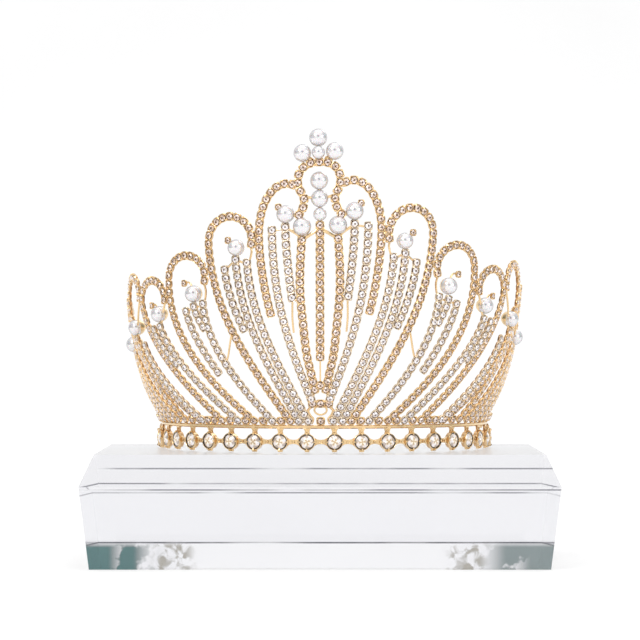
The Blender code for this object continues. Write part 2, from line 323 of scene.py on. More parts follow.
def lathe(profile: Sequence[Pair], sides: int) -> Template:
    """Turns a profile about local Z.

    Args:
        profile: Radius and height, from the underside up the outer side.
        sides: Sides of the turned shape.

    Returns:
        The closed template.
    """
    points: list[Triple] = []
    rings: list[range] = []
    for radius, height in profile:
        around = circle(sides) if radius > 0.0 else [(0.0, 0.0)]
        rings.append(range(len(points), len(points) + len(around)))
        points += [(radius * x, radius * y, height) for x, y in around]
    faces = []
    for low, high in zip(rings, rings[1:]):
        for side in range(sides):
            picks = ((low, side), (low, side + 1), (high, side + 1), (high, side))
            face = tuple(dict.fromkeys(ring[spot % len(ring)] for ring, spot in picks))
            if len(face) > 2:
                faces.append(face)
    return Template.of(points, faces)


def ball(radius: float, steps: int, sides: int) -> Template:
    """A ball turned about local Z.

    Args:
        radius: Its radius.
        steps: Rings of faces from its underside to its top.
        sides: Faces in each ring.

    Returns:
        The closed template.
    """
    turns = [math.pi * step / steps for step in range(1, steps)]
    bulge = [(radius * math.sin(turn), -radius * math.cos(turn)) for turn in turns]
    return lathe([(0.0, -radius), *bulge, (0.0, radius)], sides)


def loft(sections: Sequence[Sequence[Sequence[float]]]) -> Template:
    """Joins like outlines into one closed body with flat ends.

    Args:
        sections: Outlines of the same number of points, each counter-clockwise
            as seen from the last one.

    Returns:
        The closed template.
    """
    count = len(sections[0])
    points = [point for section in sections for point in section]
    faces = [tuple(reversed(range(count))), tuple(range(len(points) - count, len(points)))]
    for base in range(0, len(points) - count, count):
        for side in range(count):
            after = (side + 1) % count
            faces.append((base + side, base + after, base + count + after, base + count + side))
    return Template.of(points, faces)


def claws(line: Iterable[Sequence[float]], first: float) -> list[Template]:
    """Four claws that stand round a setting's rim and bend over the stone.

    Args:
        line: Rows of outer radius, outer height, inner radius, inner height and width.
        first: Degrees round the setting at which the first one stands.

    Returns:
        The claws.
    """
    sections = []
    for outer, high, inner, low, width in line:
        corners = ((outer, -0.5, high), (outer, 0.5, high), (inner, 0.5, low), (inner, -0.5, low))
        sections.append([(x, share * width, z) for x, share, z in corners])
    claw = loft(sections)
    return [claw.moved(Matrix.Rotation(math.radians(first + 90 * step), 4, "Z")) for step in range(4)]


def wire(points: Sequence[Vector], radius: float, sides: int = 8, closed: bool = False) -> Template:
    """A round wire through points.

    Args:
        points: The wire's middle line.
        radius: The wire's radius.
        sides: Sides of its section.
        closed: Whether its end meets its start.

    Returns:
        The wire as a closed template.
    """
    count = len(points)
    spin = UP
    rings = []
    for index, point in enumerate(points):
        before = points[index - 1] if closed or index else point
        after = points[(index + 1) % count] if closed or index < count - 1 else point
        ahead = (after - before).normalized()
        if index == 0 and abs(ahead.dot(spin)) > 0.95:
            spin = Vector((1.0, 0.0, 0.0))
        spin = (spin - ahead * spin.dot(ahead)).normalized()
        side = ahead.cross(spin)
        rings.append([point + (spin * x + side * y) * radius for x, y in circle(sides)])
    if not closed:
        return loft(rings)
    body = loft([*rings, rings[0]])
    ends = 2 * sides
    return Template(body.points, body.corners[ends:], body.totals[2:])


def paint(mesh: bpy.types.Mesh, tones: np.ndarray, totals: Sequence[int]) -> None:
    """Gives each face the colour that the finishes read.

    Args:
        mesh: The mesh.
        tones: A colour with alpha for each face.
        totals: The number of corners of each face.
    """
    layer = mesh.color_attributes.new("facet", "FLOAT_COLOR", "CORNER")
    layer.data.foreach_set("color", np.repeat(tones, totals, axis=0).astype(np.float32).ravel())


def add_piece(mesh: bpy.types.Mesh, name: str, material: bpy.types.Material) -> bpy.types.Object:
    """Makes an object of a mesh.

    Args:
        mesh: The finished mesh.
        name: The piece's name.
        material: The finish.

    Returns:
        The new object, riding on the root body.
    """
    piece = bpy.data.objects.new(name, mesh)
    bpy.context.scene.collection.objects.link(piece)
    mesh.materials.append(material)
    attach(piece, "root")
    LOG.info("%s: %d faces", name, len(mesh.polygons))
    return piece


class MeshPile:
    """Collects stamped templates and makes one object of them."""

    def __init__(self, name: str) -> None:
        """Starts an empty pile for a piece of that name."""
        self.name = name
        self.parts: list[Template] = []

    def stamp(self, template: Template, matrix: Matrix | None = None, tone: float = 0.0) -> None:
        """Adds a template.

        Args:
            template: The shape.
            matrix: Its placement, or None where it is.
            tone: How pale its metal is; left at 0 for stones.
        """
        placed = template.moved(matrix) if matrix is not None else replace(template)
        faces = len(placed.totals)
        placed.colours = np.zeros((faces, 4)) if placed.colours is None else placed.colours.copy()
        if tone > 0.0:
            placed.colours[:, 0] = tone
        self.parts.append(placed)

    def make(self, material: bpy.types.Material, slot: Slot, sharp: float | None) -> bpy.types.Object:
        """Makes the object.

        Args:
            material: The finish.
            slot: The record's material slot; not used.
            sharp: Degrees above which an edge stays sharp, or None for flat facets.

        Returns:
            The new object, riding on the root body.
        """
        whole = self.parts[0].joined(*self.parts[1:])
        mesh = bpy.data.meshes.new(self.name)
        mesh.vertices.add(len(whole.points))
        mesh.vertices.foreach_set("co", whole.points.astype(np.float32).ravel())
        mesh.loops.add(len(whole.corners))
        mesh.loops.foreach_set("vertex_index", whole.corners)
        mesh.polygons.add(len(whole.totals))
        starts = np.concatenate([[0], np.cumsum(whole.totals)[:-1]]).astype(np.int32)
        mesh.polygons.foreach_set("loop_start", starts)
        mesh.update(calc_edges=True)
        mesh.validate()
        paint(mesh, whole.colours, whole.totals)
        if sharp is None:
            mesh.shade_flat()
        else:
            mesh.shade_smooth()
            mesh.set_sharp_from_angle(angle=math.radians(sharp))
        return add_piece(mesh, self.name, material)


# Facet colours of the cut stones: partly the stones' own tint, partly painted reflections and glints. The
# first colour is the heart's, and in the first two palettes it is a painted dark reflection.
SPARKLE: Palette = (
    (0.17, 0.10, 0.07),
    (0.97, 0.92, 0.90),
    (0.72, 0.55, 0.44),
    (0.93, 0.80, 0.68),
    (0.44, 0.30, 0.22),
    (0.96, 0.92, 0.93),
    (0.62, 0.47, 0.37),
    (0.96, 0.76, 0.52),
)
PALE_SPARKLE: Palette = (
    (0.26, 0.20, 0.18),
    (0.98, 0.97, 0.98),
    (0.80, 0.77, 0.79),
    (0.97, 0.94, 0.92),
    (0.58, 0.52, 0.50),
    (0.95, 0.95, 0.99),
    (0.92, 0.84, 0.76),
)
CHAMPAGNE_SPARKLE: Palette = (
    (0.80, 0.62, 0.36),
    (1.00, 0.96, 0.88),
    (0.74, 0.56, 0.34),
    (0.99, 0.97, 0.96),
    (0.94, 0.85, 0.74),
    (0.72, 0.63, 0.56),
    (0.98, 0.95, 0.95),
    (1.00, 0.99, 0.98),
    (0.66, 0.56, 0.48),
)


@dataclass(frozen=True)
class StoneCut:
    """A round brilliant cut with a heart, table, stars, kites and girdle facets."""

    radius: float
    crown: float
    pavilion: float
    heart: float = 0.20
    table: float = 0.52
    shoulder: float = 0.80
    girdle: float = 0.03
    scatter: int = 3

    def template(self, palette: Palette, seed: int) -> Template:
        """The cut stone with a painted colour on each facet.

        Args:
            palette: The facet colours, partly the stone's tint and partly painted reflections and glints; the
                first is the heart's.
            seed: Seed of the draw.

        Returns:
            The closed template, with its girdle at local height 0.
        """
        draw = random.Random(seed)
        eighth = math.radians(45)
        rows = (
            (self.heart, 8, 0.0, self.crown),
            (self.table, 8, 0.0, self.crown),
            (self.shoulder, 8, eighth / 2, self.crown * 0.52),
            (1.0, 16, 0.0, self.girdle * self.radius),
            (1.0, 16, 0.0, -self.girdle * self.radius),
        )
        points = []
        for ring, count, phase, height in rows:
            for step in range(count):
                turn = math.tau * step / count + phase
                reach = ring * self.radius
                points.append((reach * math.cos(turn), reach * math.sin(turn), height))
        points.append((0.0, 0.0, -self.pavilion))
        made = Template.of(points, self.facets())
        rest = len(palette) - 1
        tones = [palette[0]]
        for number in range(len(made.totals) - 1):
            pick = 2 * (number % 5) + (number // 5) % 2 + draw.randrange(self.scatter)
            tones.append(palette[1 + pick % rest])
        made.colours = np.array([(*tone, 1.0) for tone in tones])
        return made

    @staticmethod
    def facets() -> list[tuple[int, ...]]:
        """The facets: the heart, then each eighth of the crown, then the girdle and the back.

        Returns:
            The numbers of the points round each facet.
        """
        table, shoulder, upper, lower, tip = 8, 16, 24, 40, 56
        faces: list[tuple[int, ...]] = [tuple(range(8))]
        for step in range(8):
            after = (step + 1) % 8
            rim = upper + 2 * step
            end = upper + 2 * after
            kite = shoulder + step
            faces += [
                (step, table + step, table + after, after),
                (table + step, kite, table + after),
                (table + after, kite, end, shoulder + after),
                (kite, rim, rim + 1),
                (kite, rim + 1, end),
            ]
        for step in range(16):
            after = (step + 1) % 16
            faces += [
                (upper + after, upper + step, lower + step, lower + after),
                (lower + after, lower + step, tip),
            ]
        return faces


def shadow_ring(radius: float, width: float, sides: int, tone: Colour) -> Template:
    """A ring of painted shadow that shows round a stone, where the gap to its setting is in shade.

    Args:
        radius: The stone's radius.
        width: How far the ring stands out from it.
        sides: Sides of the ring.
        tone: The ring's colour.

    Returns:
        The ring, round a stone whose girdle is at local height 0.
    """
    section = ((-0.3, -1.5), (1.0, -1.5), (1.0, 0.9), (-0.3, 0.7), (-0.3, -1.5))
    ring = lathe([(radius + across * width, height * width) for across, height in section], sides)
    # The ring is painted dark, standing in for the shade in the gap between a stone and its setting.
    ring.colours = np.tile((*tone, 1.0), (len(ring.totals), 1))
    return ring


@dataclass(frozen=True)
class ChainPattern:
    """The claw cup, stone and link that make up the fine chain."""

    pitch: float = 3.44 * MM
    cup_radius: float = 1.88 * MM
    stone_radius: float = 1.33 * MM
    # Width and colour of the ring of painted shadow round each small stone.
    shadow_width: float = 0.17 * MM
    shadow_tone: Colour = (0.22, 0.11, 0.04)
    end_margin: float = 1.5 * MM
    cup_sides: int = 16
    variants: int = 7

    def cup(self) -> Template:
        """The cup with its four claws.

        Returns:
            The cup, with the girdle of its stone at local height 0.
        """
        rim = self.cup_radius
        profile = (
            (0.0, -1.15),
            (0.62, -1.15),
            (0.84, -0.95),
            (0.95, -0.40),
            (1.0, -0.08),
            (0.97, 0.14),
            (0.88, 0.22),
            (0.83, 0.12),
            (0.81, -0.12),
            (0.0, -0.62),
        )
        line = (
            (1.10, -0.50, 0.80, -0.50, 0.80),
            (1.14, 0.14, 0.82, 0.10, 0.76),
            (1.02, 0.50, 0.76, 0.34, 0.64),
            (0.68, 0.64, 0.66, 0.46, 0.36),
        )
        cup = lathe([(share * rim, height * MM) for share, height in profile], self.cup_sides)
        self.square_off(cup.points, 0.835 * rim)
        claw = [
            (rim * far, high * MM, rim * near, low * MM, width * MM)
            for far, high, near, low, width in line
        ]
        return cup.joined(*claws(claw, 45)).shaded(top=0.0, bottom=-0.5, back=-0.9)

    @staticmethod
    def square_off(points: np.ndarray, inner: float) -> None:
        """Pushes the points outside a radius towards a rounded square, in place.

        Args:
            points: The points, about local Z.
            inner: The radius within which the shape stays round.
        """
        reach = np.hypot(points[:, 0], points[:, 1])
        outside = reach > inner
        across, along = (np.abs(points[outside, axis]) / reach[outside] for axis in (0, 1))
        points[outside, :2] *= ((across**4 + along**4) ** -0.25)[:, None]

    def link(self) -> Template:
        """The short rounded bar between two cups.

        Returns:
            The bar, along local X.
        """
        half = self.pitch / 2 - 0.62 * self.cup_radius
        ends, waist = 0.46 * MM, 0.40 * MM
        bar = lathe(((0.0, -half), (ends, -half), (waist, 0.0), (ends, half), (0.0, half)), 8)
        bar.points[:, 1] *= 1.6
        laid = Matrix.Translation((0, 0, -0.45 * MM)) @ Matrix.Rotation(math.pi / 2, 4, "Y")
        return bar.moved(laid).shaded(top=0.6, bottom=-0.9, back=-0.7)

    def stones(self, palette: Palette) -> list[Template]:
        """Stones whose facets carry differently drawn painted reflections, for a chain that sparkles
        unevenly.

        Args:
            palette: The colours of their facets.

        Returns:
            The stones in their rings of painted shadow.
        """
        cut = StoneCut(self.stone_radius, 0.52 * MM, 0.55 * MM, heart=0.34, table=0.56)
        rim = shadow_ring(self.stone_radius, self.shadow_width, 12, self.shadow_tone)
        return [cut.template(palette, seed).joined(rim) for seed in range(self.variants)]


class Track:
    """A route on the wall, measured along its length."""

    def __init__(self, route: Route) -> None:
        """Measures a route of closely spaced places."""
        points = np.array([WALL.point(angle, height) for angle, height in route])
        steps = np.linalg.norm(np.diff(points, axis=0), axis=1)
        self.distances = np.concatenate([[0.0], np.cumsum(steps)])
        self.angles, self.heights = np.array(route).T

    def place(self, along: float) -> Pair:
        """The angle and height at a distance from the start."""
        rows = (self.angles, self.heights)
        return tuple(float(np.interp(along, self.distances, row)) for row in rows)

    def seat(self, along: float) -> Matrix:
        """The placement of a cup or link.

        Args:
            along: Distance from the start.

        Returns:
            The placement, with X along the route and Z outward.
        """
        reach = 0.4 * MM
        middle = self.place(along)
        ahead = (WALL.point(*self.place(along + reach)) - WALL.point(*self.place(along - reach))).normalized()
        out = WALL.outward(*middle)
        out = (out - ahead * out.dot(ahead)).normalized()
        return placement(ahead, out.cross(ahead), out, WALL.point(*middle) + out * STANDOFF)


class ChainWork:
    """A soldered motif of chains and wires, as a metal piece and a stone piece."""

    def __init__(self, name: str, pattern: ChainPattern, seed: int) -> None:
        """Starts a motif.

        Args:
            name: The start of the names of its pieces.
            pattern: The fine chain.
            seed: Seed of the draw of stones.
        """
        self.pattern = pattern
        self.metal = MeshPile(f"{name}_metal")
        self.stone = MeshPile(f"{name}_stones")
        self.draw = random.Random(seed)
        self.cup = pattern.cup()
        self.link = pattern.link()
        self.cuts = {0.0: pattern.stones(SPARKLE), 1.0: pattern.stones(PALE_SPARKLE)}

    def set_stone(self, seat: Matrix, scale: float = 1.0, tone: float = 0.0) -> None:
        """Sets one cup with its stone at a placement.

        Args:
            seat: The placement.
            scale: Size against the chain's own cups.
            tone: 0 for the gold chain, 1 for the pale one.
        """
        seat = seat @ Matrix.Scale(scale, 4)
        turn = Matrix.Rotation(self.draw.uniform(0.0, math.tau), 4, "Z")
        self.metal.stamp(self.cup, seat, tone)
        cut = self.draw.choice(self.cuts[tone])
        self.stone.stamp(cut, seat @ Matrix.Translation((0, 0, 0.10 * MM)) @ turn)

    def chain(self, route: Route, tail: float = 0.0, tone: float = 0.0) -> None:
        """Lays a chain along a route, cup by cup, with a link between neighbours.

        Args:
            route: Closely spaced places on the wall.
            tail: How far before the route's end the last cup's middle is.
            tone: 0 for the gold chain, 1 for the pale one.
        """
        track = Track(route)
        run = track.distances[-1] - self.pattern.end_margin - tail
        count = max(1, round(run / self.pattern.pitch))
        for step in range(count + 1):
            along = self.pattern.end_margin + run * step / count
            self.set_stone(track.seat(along), 1.0, tone)
            if step < count:
                self.metal.stamp(self.link, track.seat(along + run / count / 2), tone)

    def wire(self, route: Iterable[Pair], radius: float = 0.45 * MM, standoff: float = -0.2 * MM) -> None:
        """Lays a thin wire along a few places on the wall.

        Args:
            route: The places.
            radius: The wire's radius.
            standoff: Distance of its middle line outward from the wall.
        """
        line = smooth_route(list(route), 4)
        points = [WALL.point(*place) + WALL.outward(*place) * standoff for place in line]
        self.metal.stamp(wire(points, radius))

    def bead(self, angle: float, height: float, radius: float) -> None:
        """Adds a small gold bead at a place on the wall."""
        self.metal.stamp(ball(radius, 6, 10), WALL.seat(angle, height))

    def make(self, finishes: "Finishes", nodes: Sequence[str]) -> None:
        """Makes both pieces.

        Args:
            finishes: The crown's finishes.
            nodes: The nodes that the metal stands for, if any.
        """
        metal = self.metal.make(finishes.gold, Slot.GOLD, sharp=38.0)
        if nodes:
            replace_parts(metal, *nodes)
        self.stone.make(finishes.crystal, Slot.CRYSTAL, sharp=None)


def sweep_route(top: float, top_height: float, foot: float, foot_height: float, sweep: float) -> Route:
    """A leg that falls straight at first and sweeps in towards its foot.

    Args:
        top: Angle at the top.
        top_height: Height at the top.
        foot: Angle at the foot.
        foot_height: Height at the foot.
        sweep: How late the leg bends; 1 is a straight line.

    Returns:
        The route from the top to the foot.
    """
    steps = 60
    return [
        (foot + (top - foot) * (1.0 - down**sweep), top_height + (foot_height - top_height) * down)
        for down in (step / steps for step in range(steps + 1))
    ]


class Leg:
    """What ends on the rail or hangs free in a tip."""

    foot_height: float

    def tail(self) -> float:
        """How far the last cup's middle is from the route's end."""
        return 0.0 if self.foot_height == FOOT else TIP_GAP


@dataclass(frozen=True)
class Strand(Leg):
    """A hanging strand of chain."""

    top: float
    top_height: float
    foot: float
    foot_height: float
    sweep: float

    def route(self) -> Route:
        """The strand's route on the right side."""
        return sweep_route(self.top, self.top_height, self.foot, self.foot_height, self.sweep)


@dataclass(frozen=True)
class Arch(Leg):
    """An arch of chain that curls in at its head and sweeps down to its foot."""

    crest: float
    height: float
    half_width: float
    rise: float
    curl: float
    foot: float
    foot_height: float
    sweep: float

    def route(self) -> Route:
        """The arch's route on the right side.

        Returns:
            The route from the curl's end to the foot.
        """
        start = math.radians(180.0 + self.curl)
        steps = 48
        head = [
            (self.crest + self.half_width * math.cos(turn), self.height + self.rise * math.sin(turn))
            for turn in (start * (1.0 - step / steps) for step in range(steps))
        ]
        side = self.crest + self.half_width
        return head + sweep_route(side, self.height, self.foot, self.foot_height, self.sweep)


@dataclass(frozen=True)
class Fan:
    """One fan of the wall: an arch, its strands and the wire that holds their tops."""

    number: int
    arch: Arch
    strands: tuple[Strand, ...]
    bud: Pair
    twig: Places
    fillers: tuple[Strand, ...] = ()
    bud_scale: float = 0.78
    twig_radius: float = 0.42 * MM
    pale: float = 1.0
    swag_drop: float = 1.9 * MM
    swag_bend: float = 0.65
    swag_in: float = 0.9

    def swag(self) -> Places:
        """The wire behind the first cup of every strand.

        Returns:
            Its places, which start at the curl's end where the arch curls in.
        """
        tops = [(strand.top, strand.top_height - self.swag_drop) for strand in self.strands]
        if self.arch.curl < 0:
            return tuple(tops)
        curl, first = self.arch.route()[0], self.strands[0]
        bend = (1.0 - self.swag_bend) * curl[0] + self.swag_bend * first.top - self.swag_in
        return (curl, (bend, (curl[1] + first.top_height) / 2), *tops)

    def lay(self, work: ChainWork, side: Side) -> None:
        """Lays the fan's chains, wires and single stone on one side.

        Args:
            work: The motif that takes them.
            side: The side of the crown.
        """
        work.chain(flipped(self.arch.route(), side), self.arch.tail())
        for strand in (*self.strands, *self.fillers):
            work.chain(flipped(strand.route(), side), strand.tail(), self.pale)
        work.wire(flipped(self.swag(), side))
        work.wire(flipped(self.twig, side), self.twig_radius)
        angle, height = self.bud
        work.set_stone(WALL.seat(side.value * angle, height, STANDOFF), self.bud_scale)

    def build(self, finishes: "Finishes", pattern: ChainPattern) -> None:
        """Builds the fan on both sides, each as a metal and a stone piece.

        Args:
            finishes: The crown's finishes.
            pattern: The fine chain.
        """
        for side in Side:
            name = f"fan_{side.name.lower()}_{self.number}"
            work = ChainWork(name, pattern, seed=100 + self.number + 50 * side.value)
            self.lay(work, side)
            work.make(finishes, [name])


FIRST_FAN = Fan(
    1,
    Arch(9.3, 80.0 * MM, 8.0, 20.3 * MM, -70, 13.8, 46.0 * MM, 1.7),
    (
        Strand(9.7, 84.0 * MM, 7.7, 52.0 * MM, 1.6),
        Strand(13.5, 83.0 * MM, 2.6, 10.5 * MM, 2.0),
    ),
    bud=(11.6, 90.9 * MM),
    twig=places((7.7, 52.4), (7.8, 45.0), (7.5, 39.0)),
)
FANS = (
    Fan(
        2,
        Arch(26.35, 78.0 * MM, 6.9, 10.2 * MM, 18, 10.2, FOOT, 1.65),
        (
            Strand(20.9, 70.0 * MM, 4.2, FOOT, 1.6),
            Strand(24.4, 71.5 * MM, 7.3, FOOT, 1.6),
            Strand(27.9, 67.5 * MM, 22.0, 40.0 * MM, 1.5),
        ),
        bud=(26.8, 78.2 * MM),
        twig=places((26.6, 38.0), (28.2, 30.0), (29.3, 27.0)),
    ),
    Fan(
        3,
        Arch(41.8, 63.5 * MM, 7.2, 9.3 * MM, 20, 23.0, FOOT, 2.0),
        (
            Strand(35.4, 53.5 * MM, 16.3, FOOT, 1.8),
            Strand(38.9, 52.5 * MM, 35.2, 41.0 * MM, 1.5),
            Strand(42.0, 50.5 * MM, 32.0, 22.0 * MM, 1.4),
        ),
        bud=(42.3, 61.0 * MM),
        twig=places((38.9, 58.0), (40.4, 61.2), (42.3, 61.0)),
    ),
    Fan(
        4,
        Arch(58.0, 54.5 * MM, 6.8, 8.4 * MM, 12, 35.5, FOOT, 1.4),
        (
            Strand(54.5, 44.3 * MM, 29.0, FOOT, 1.35),
            Strand(58.3, 43.0 * MM, 48.5, 26.0 * MM, 1.4),
        ),
        fillers=(Strand(66.5, 36.0 * MM, 44.5, FOOT, 1.4),),
        bud=(58.0, 52.0 * MM),
        twig=places((54.5, 49.6), (56.2, 52.3), (58.0, 52.0)),
    ),
    Fan(
        5,
        Arch(73.6, 56.0 * MM, 6.5, 8.8 * MM, 12, 54.0, FOOT, 1.5),
        (
            Strand(72.6, 38.8 * MM, 46.0, FOOT, 1.45),
            Strand(76.3, 38.5 * MM, 67.0, 24.0 * MM, 1.4),
        ),
        fillers=(Strand(79.0, 33.0 * MM, 58.5, FOOT, 1.45), Strand(84.0, 32.0 * MM, 62.5, FOOT, 1.45)),
        pale=0.0,
        bud=(75.8, 46.5 * MM),
        twig=places((72.6, 44.0), (74.1, 46.8), (75.8, 46.5)),
    ),
    Fan(
        6,
        Arch(89.2, 47.0 * MM, 6.4, 8.0 * MM, 12, 75.0, FOOT, 1.5),
        (
            Strand(88.0, 31.3 * MM, 66.0, FOOT, 1.45),
            Strand(91.7, 31.0 * MM, 84.5, 17.0 * MM, 1.4),
        ),
        fillers=(Strand(94.8, 33.0 * MM, 71.0, FOOT, 1.45),),
        pale=0.0,
        bud=(91.2, 39.0 * MM),
        twig=places((88.0, 36.5), (89.5, 39.3), (91.2, 39.0)),
    ),
)


@dataclass(frozen=True)
class Crest:
    """The crest: the horseshoe over the middle and the tall arch on each side of it."""

    horseshoe: Places = places(
        (0.0, 108.4),
        (2.6, 107.9),
        (4.9, 105.7),
        (5.9, 102.0),
        (5.7, 98.3),
        (4.4, 94.5),
        (4.5, 90.8),
        (5.4, 88.2),
        (6.4, 86.0),
    )
    horseshoe_tail: float = 1.0 * MM
    side_beads: Places = places((-2.3, 109.8), (2.3, 109.8))
    side_bead: float = 0.9 * MM
    middle_beads: Places = places((0.0, 115.2), (0.0, 97.2), (0.0, 90.2))
    middle_bead: float = 0.8 * MM
    spine: Places = places((0.0, 100.0), (0.0, 84.6))
    spine_radius: float = 0.45 * MM
    spine_standoff: float = -1.6 * MM
    stay: Places = places((4.4, 94.6), (1.8, 93.8))
    stay_radius: float = 0.60 * MM

    def build(self, finishes: "Finishes", pattern: ChainPattern) -> None:
        """Builds the crest's chains, beads and wires.

        Args:
            finishes: The crown's finishes.
            pattern: The fine chain.
        """
        work = ChainWork("crest", pattern, seed=11)
        knots = [*reversed(flipped(self.horseshoe[1:], Side.LEFT)), *self.horseshoe]
        work.chain(smooth_route(knots), self.horseshoe_tail)
        for side in Side:
            FIRST_FAN.lay(work, side)
        for place in self.side_beads:
            work.bead(*place, self.side_bead)
        for place in self.middle_beads:
            work.bead(*place, self.middle_bead)
        work.wire(self.spine, self.spine_radius, self.spine_standoff)
        for side in Side:
            work.wire(flipped(self.stay, side), self.stay_radius)
        work.make(finishes, ["crest"])


@dataclass(frozen=True)
class CentreFan:
    """The middle strand, the strands beside it and the scrollwork at their foot."""

    middle: Places = places((0.0, 84.1), (0.0, 29.0))
    beside: Places = places(
        (5.0, 78.4), (5.5, 66.0), (5.5, 55.0), (4.8, 43.0), (3.9, 30.0), (2.6, 21.4), (1.75, 15.6)
    )
    drop_wire: Places = places((0.0, 29.0), (0.0, 23.0), (0.0, 18.0))
    drop_radius: float = 0.35 * MM
    singles: Places = places((0.0, 17.3), (-2.6, 9.8), (0.0, 9.8), (2.6, 9.8))
    side_wires: tuple[tuple[float, Places], ...] = (
        (0.70 * MM, places((0.0, 82.2), (1.6, 80.0), (3.2, 78.6), (5.0, 76.8))),
        (0.60 * MM, places((5.0, 76.8), (6.6, 79.6), (9.7, 82.2))),
        (0.42 * MM, places((2.6, 8.4), (3.9, 6.9), (3.4, 4.8), (2.4, 3.2), (3.0, 1.2))),
        (0.40 * MM, places((2.6, 9.4), (4.6, 6.2), (6.2, 3.2), (6.6, 1.0))),
        (0.38 * MM, places((1.6, 15.4), (2.2, 12.6), (2.6, 10.6))),
    )
    ring_height: float = 6.95 * MM
    ring_rise: float = 1.85 * MM
    ring_half_width: float = 2.0
    ring_wire: float = 0.42 * MM

    def build(self, finishes: "Finishes", pattern: ChainPattern) -> None:
        """Builds the centre fan as a metal and a stone piece.

        Args:
            finishes: The crown's finishes.
            pattern: The fine chain.
        """
        work = ChainWork("centre_fan", pattern, seed=21)
        work.chain(list(self.middle))
        for side in reversed(Side):
            work.chain(flipped(smooth_route(self.beside), side))
        work.wire(self.drop_wire, self.drop_radius)
        for angle, height in self.singles:
            work.set_stone(WALL.seat(angle, height, STANDOFF))
        ring = [
            WALL.point(self.ring_half_width * x, self.ring_height + self.ring_rise * y) for x, y in circle(24)
        ]
        work.metal.stamp(wire(ring, self.ring_wire, closed=True))
        for side in Side:
            for radius, route in self.side_wires:
                work.wire(flipped(route, side), radius)
        work.make(finishes, ["centre_fan"])


@dataclass(frozen=True)
class RailStones:
    """The single stones that stand on the rail between the strands' feet."""

    angles: tuple[float, ...] = (
        0.0, 13.3, 19.6, 26.0, 32.2, 38.7, 41.6, 50.0, 79.0, 82.2, 85.4, 88.6, 91.8, 95.0, 98.2, 101.0
    )

    def build(self, finishes: "Finishes", pattern: ChainPattern) -> None:
        """Builds the row as a metal and a stone piece.

        Args:
            finishes: The crown's finishes.
            pattern: The fine chain.
        """
        work = ChainWork("rail_settings", pattern, seed=31)
        for angle in sorted({side.value * angle for angle in self.angles for side in Side}):
            work.set_stone(WALL.seat(angle, FOOT, STANDOFF))
        work.make(finishes, [])


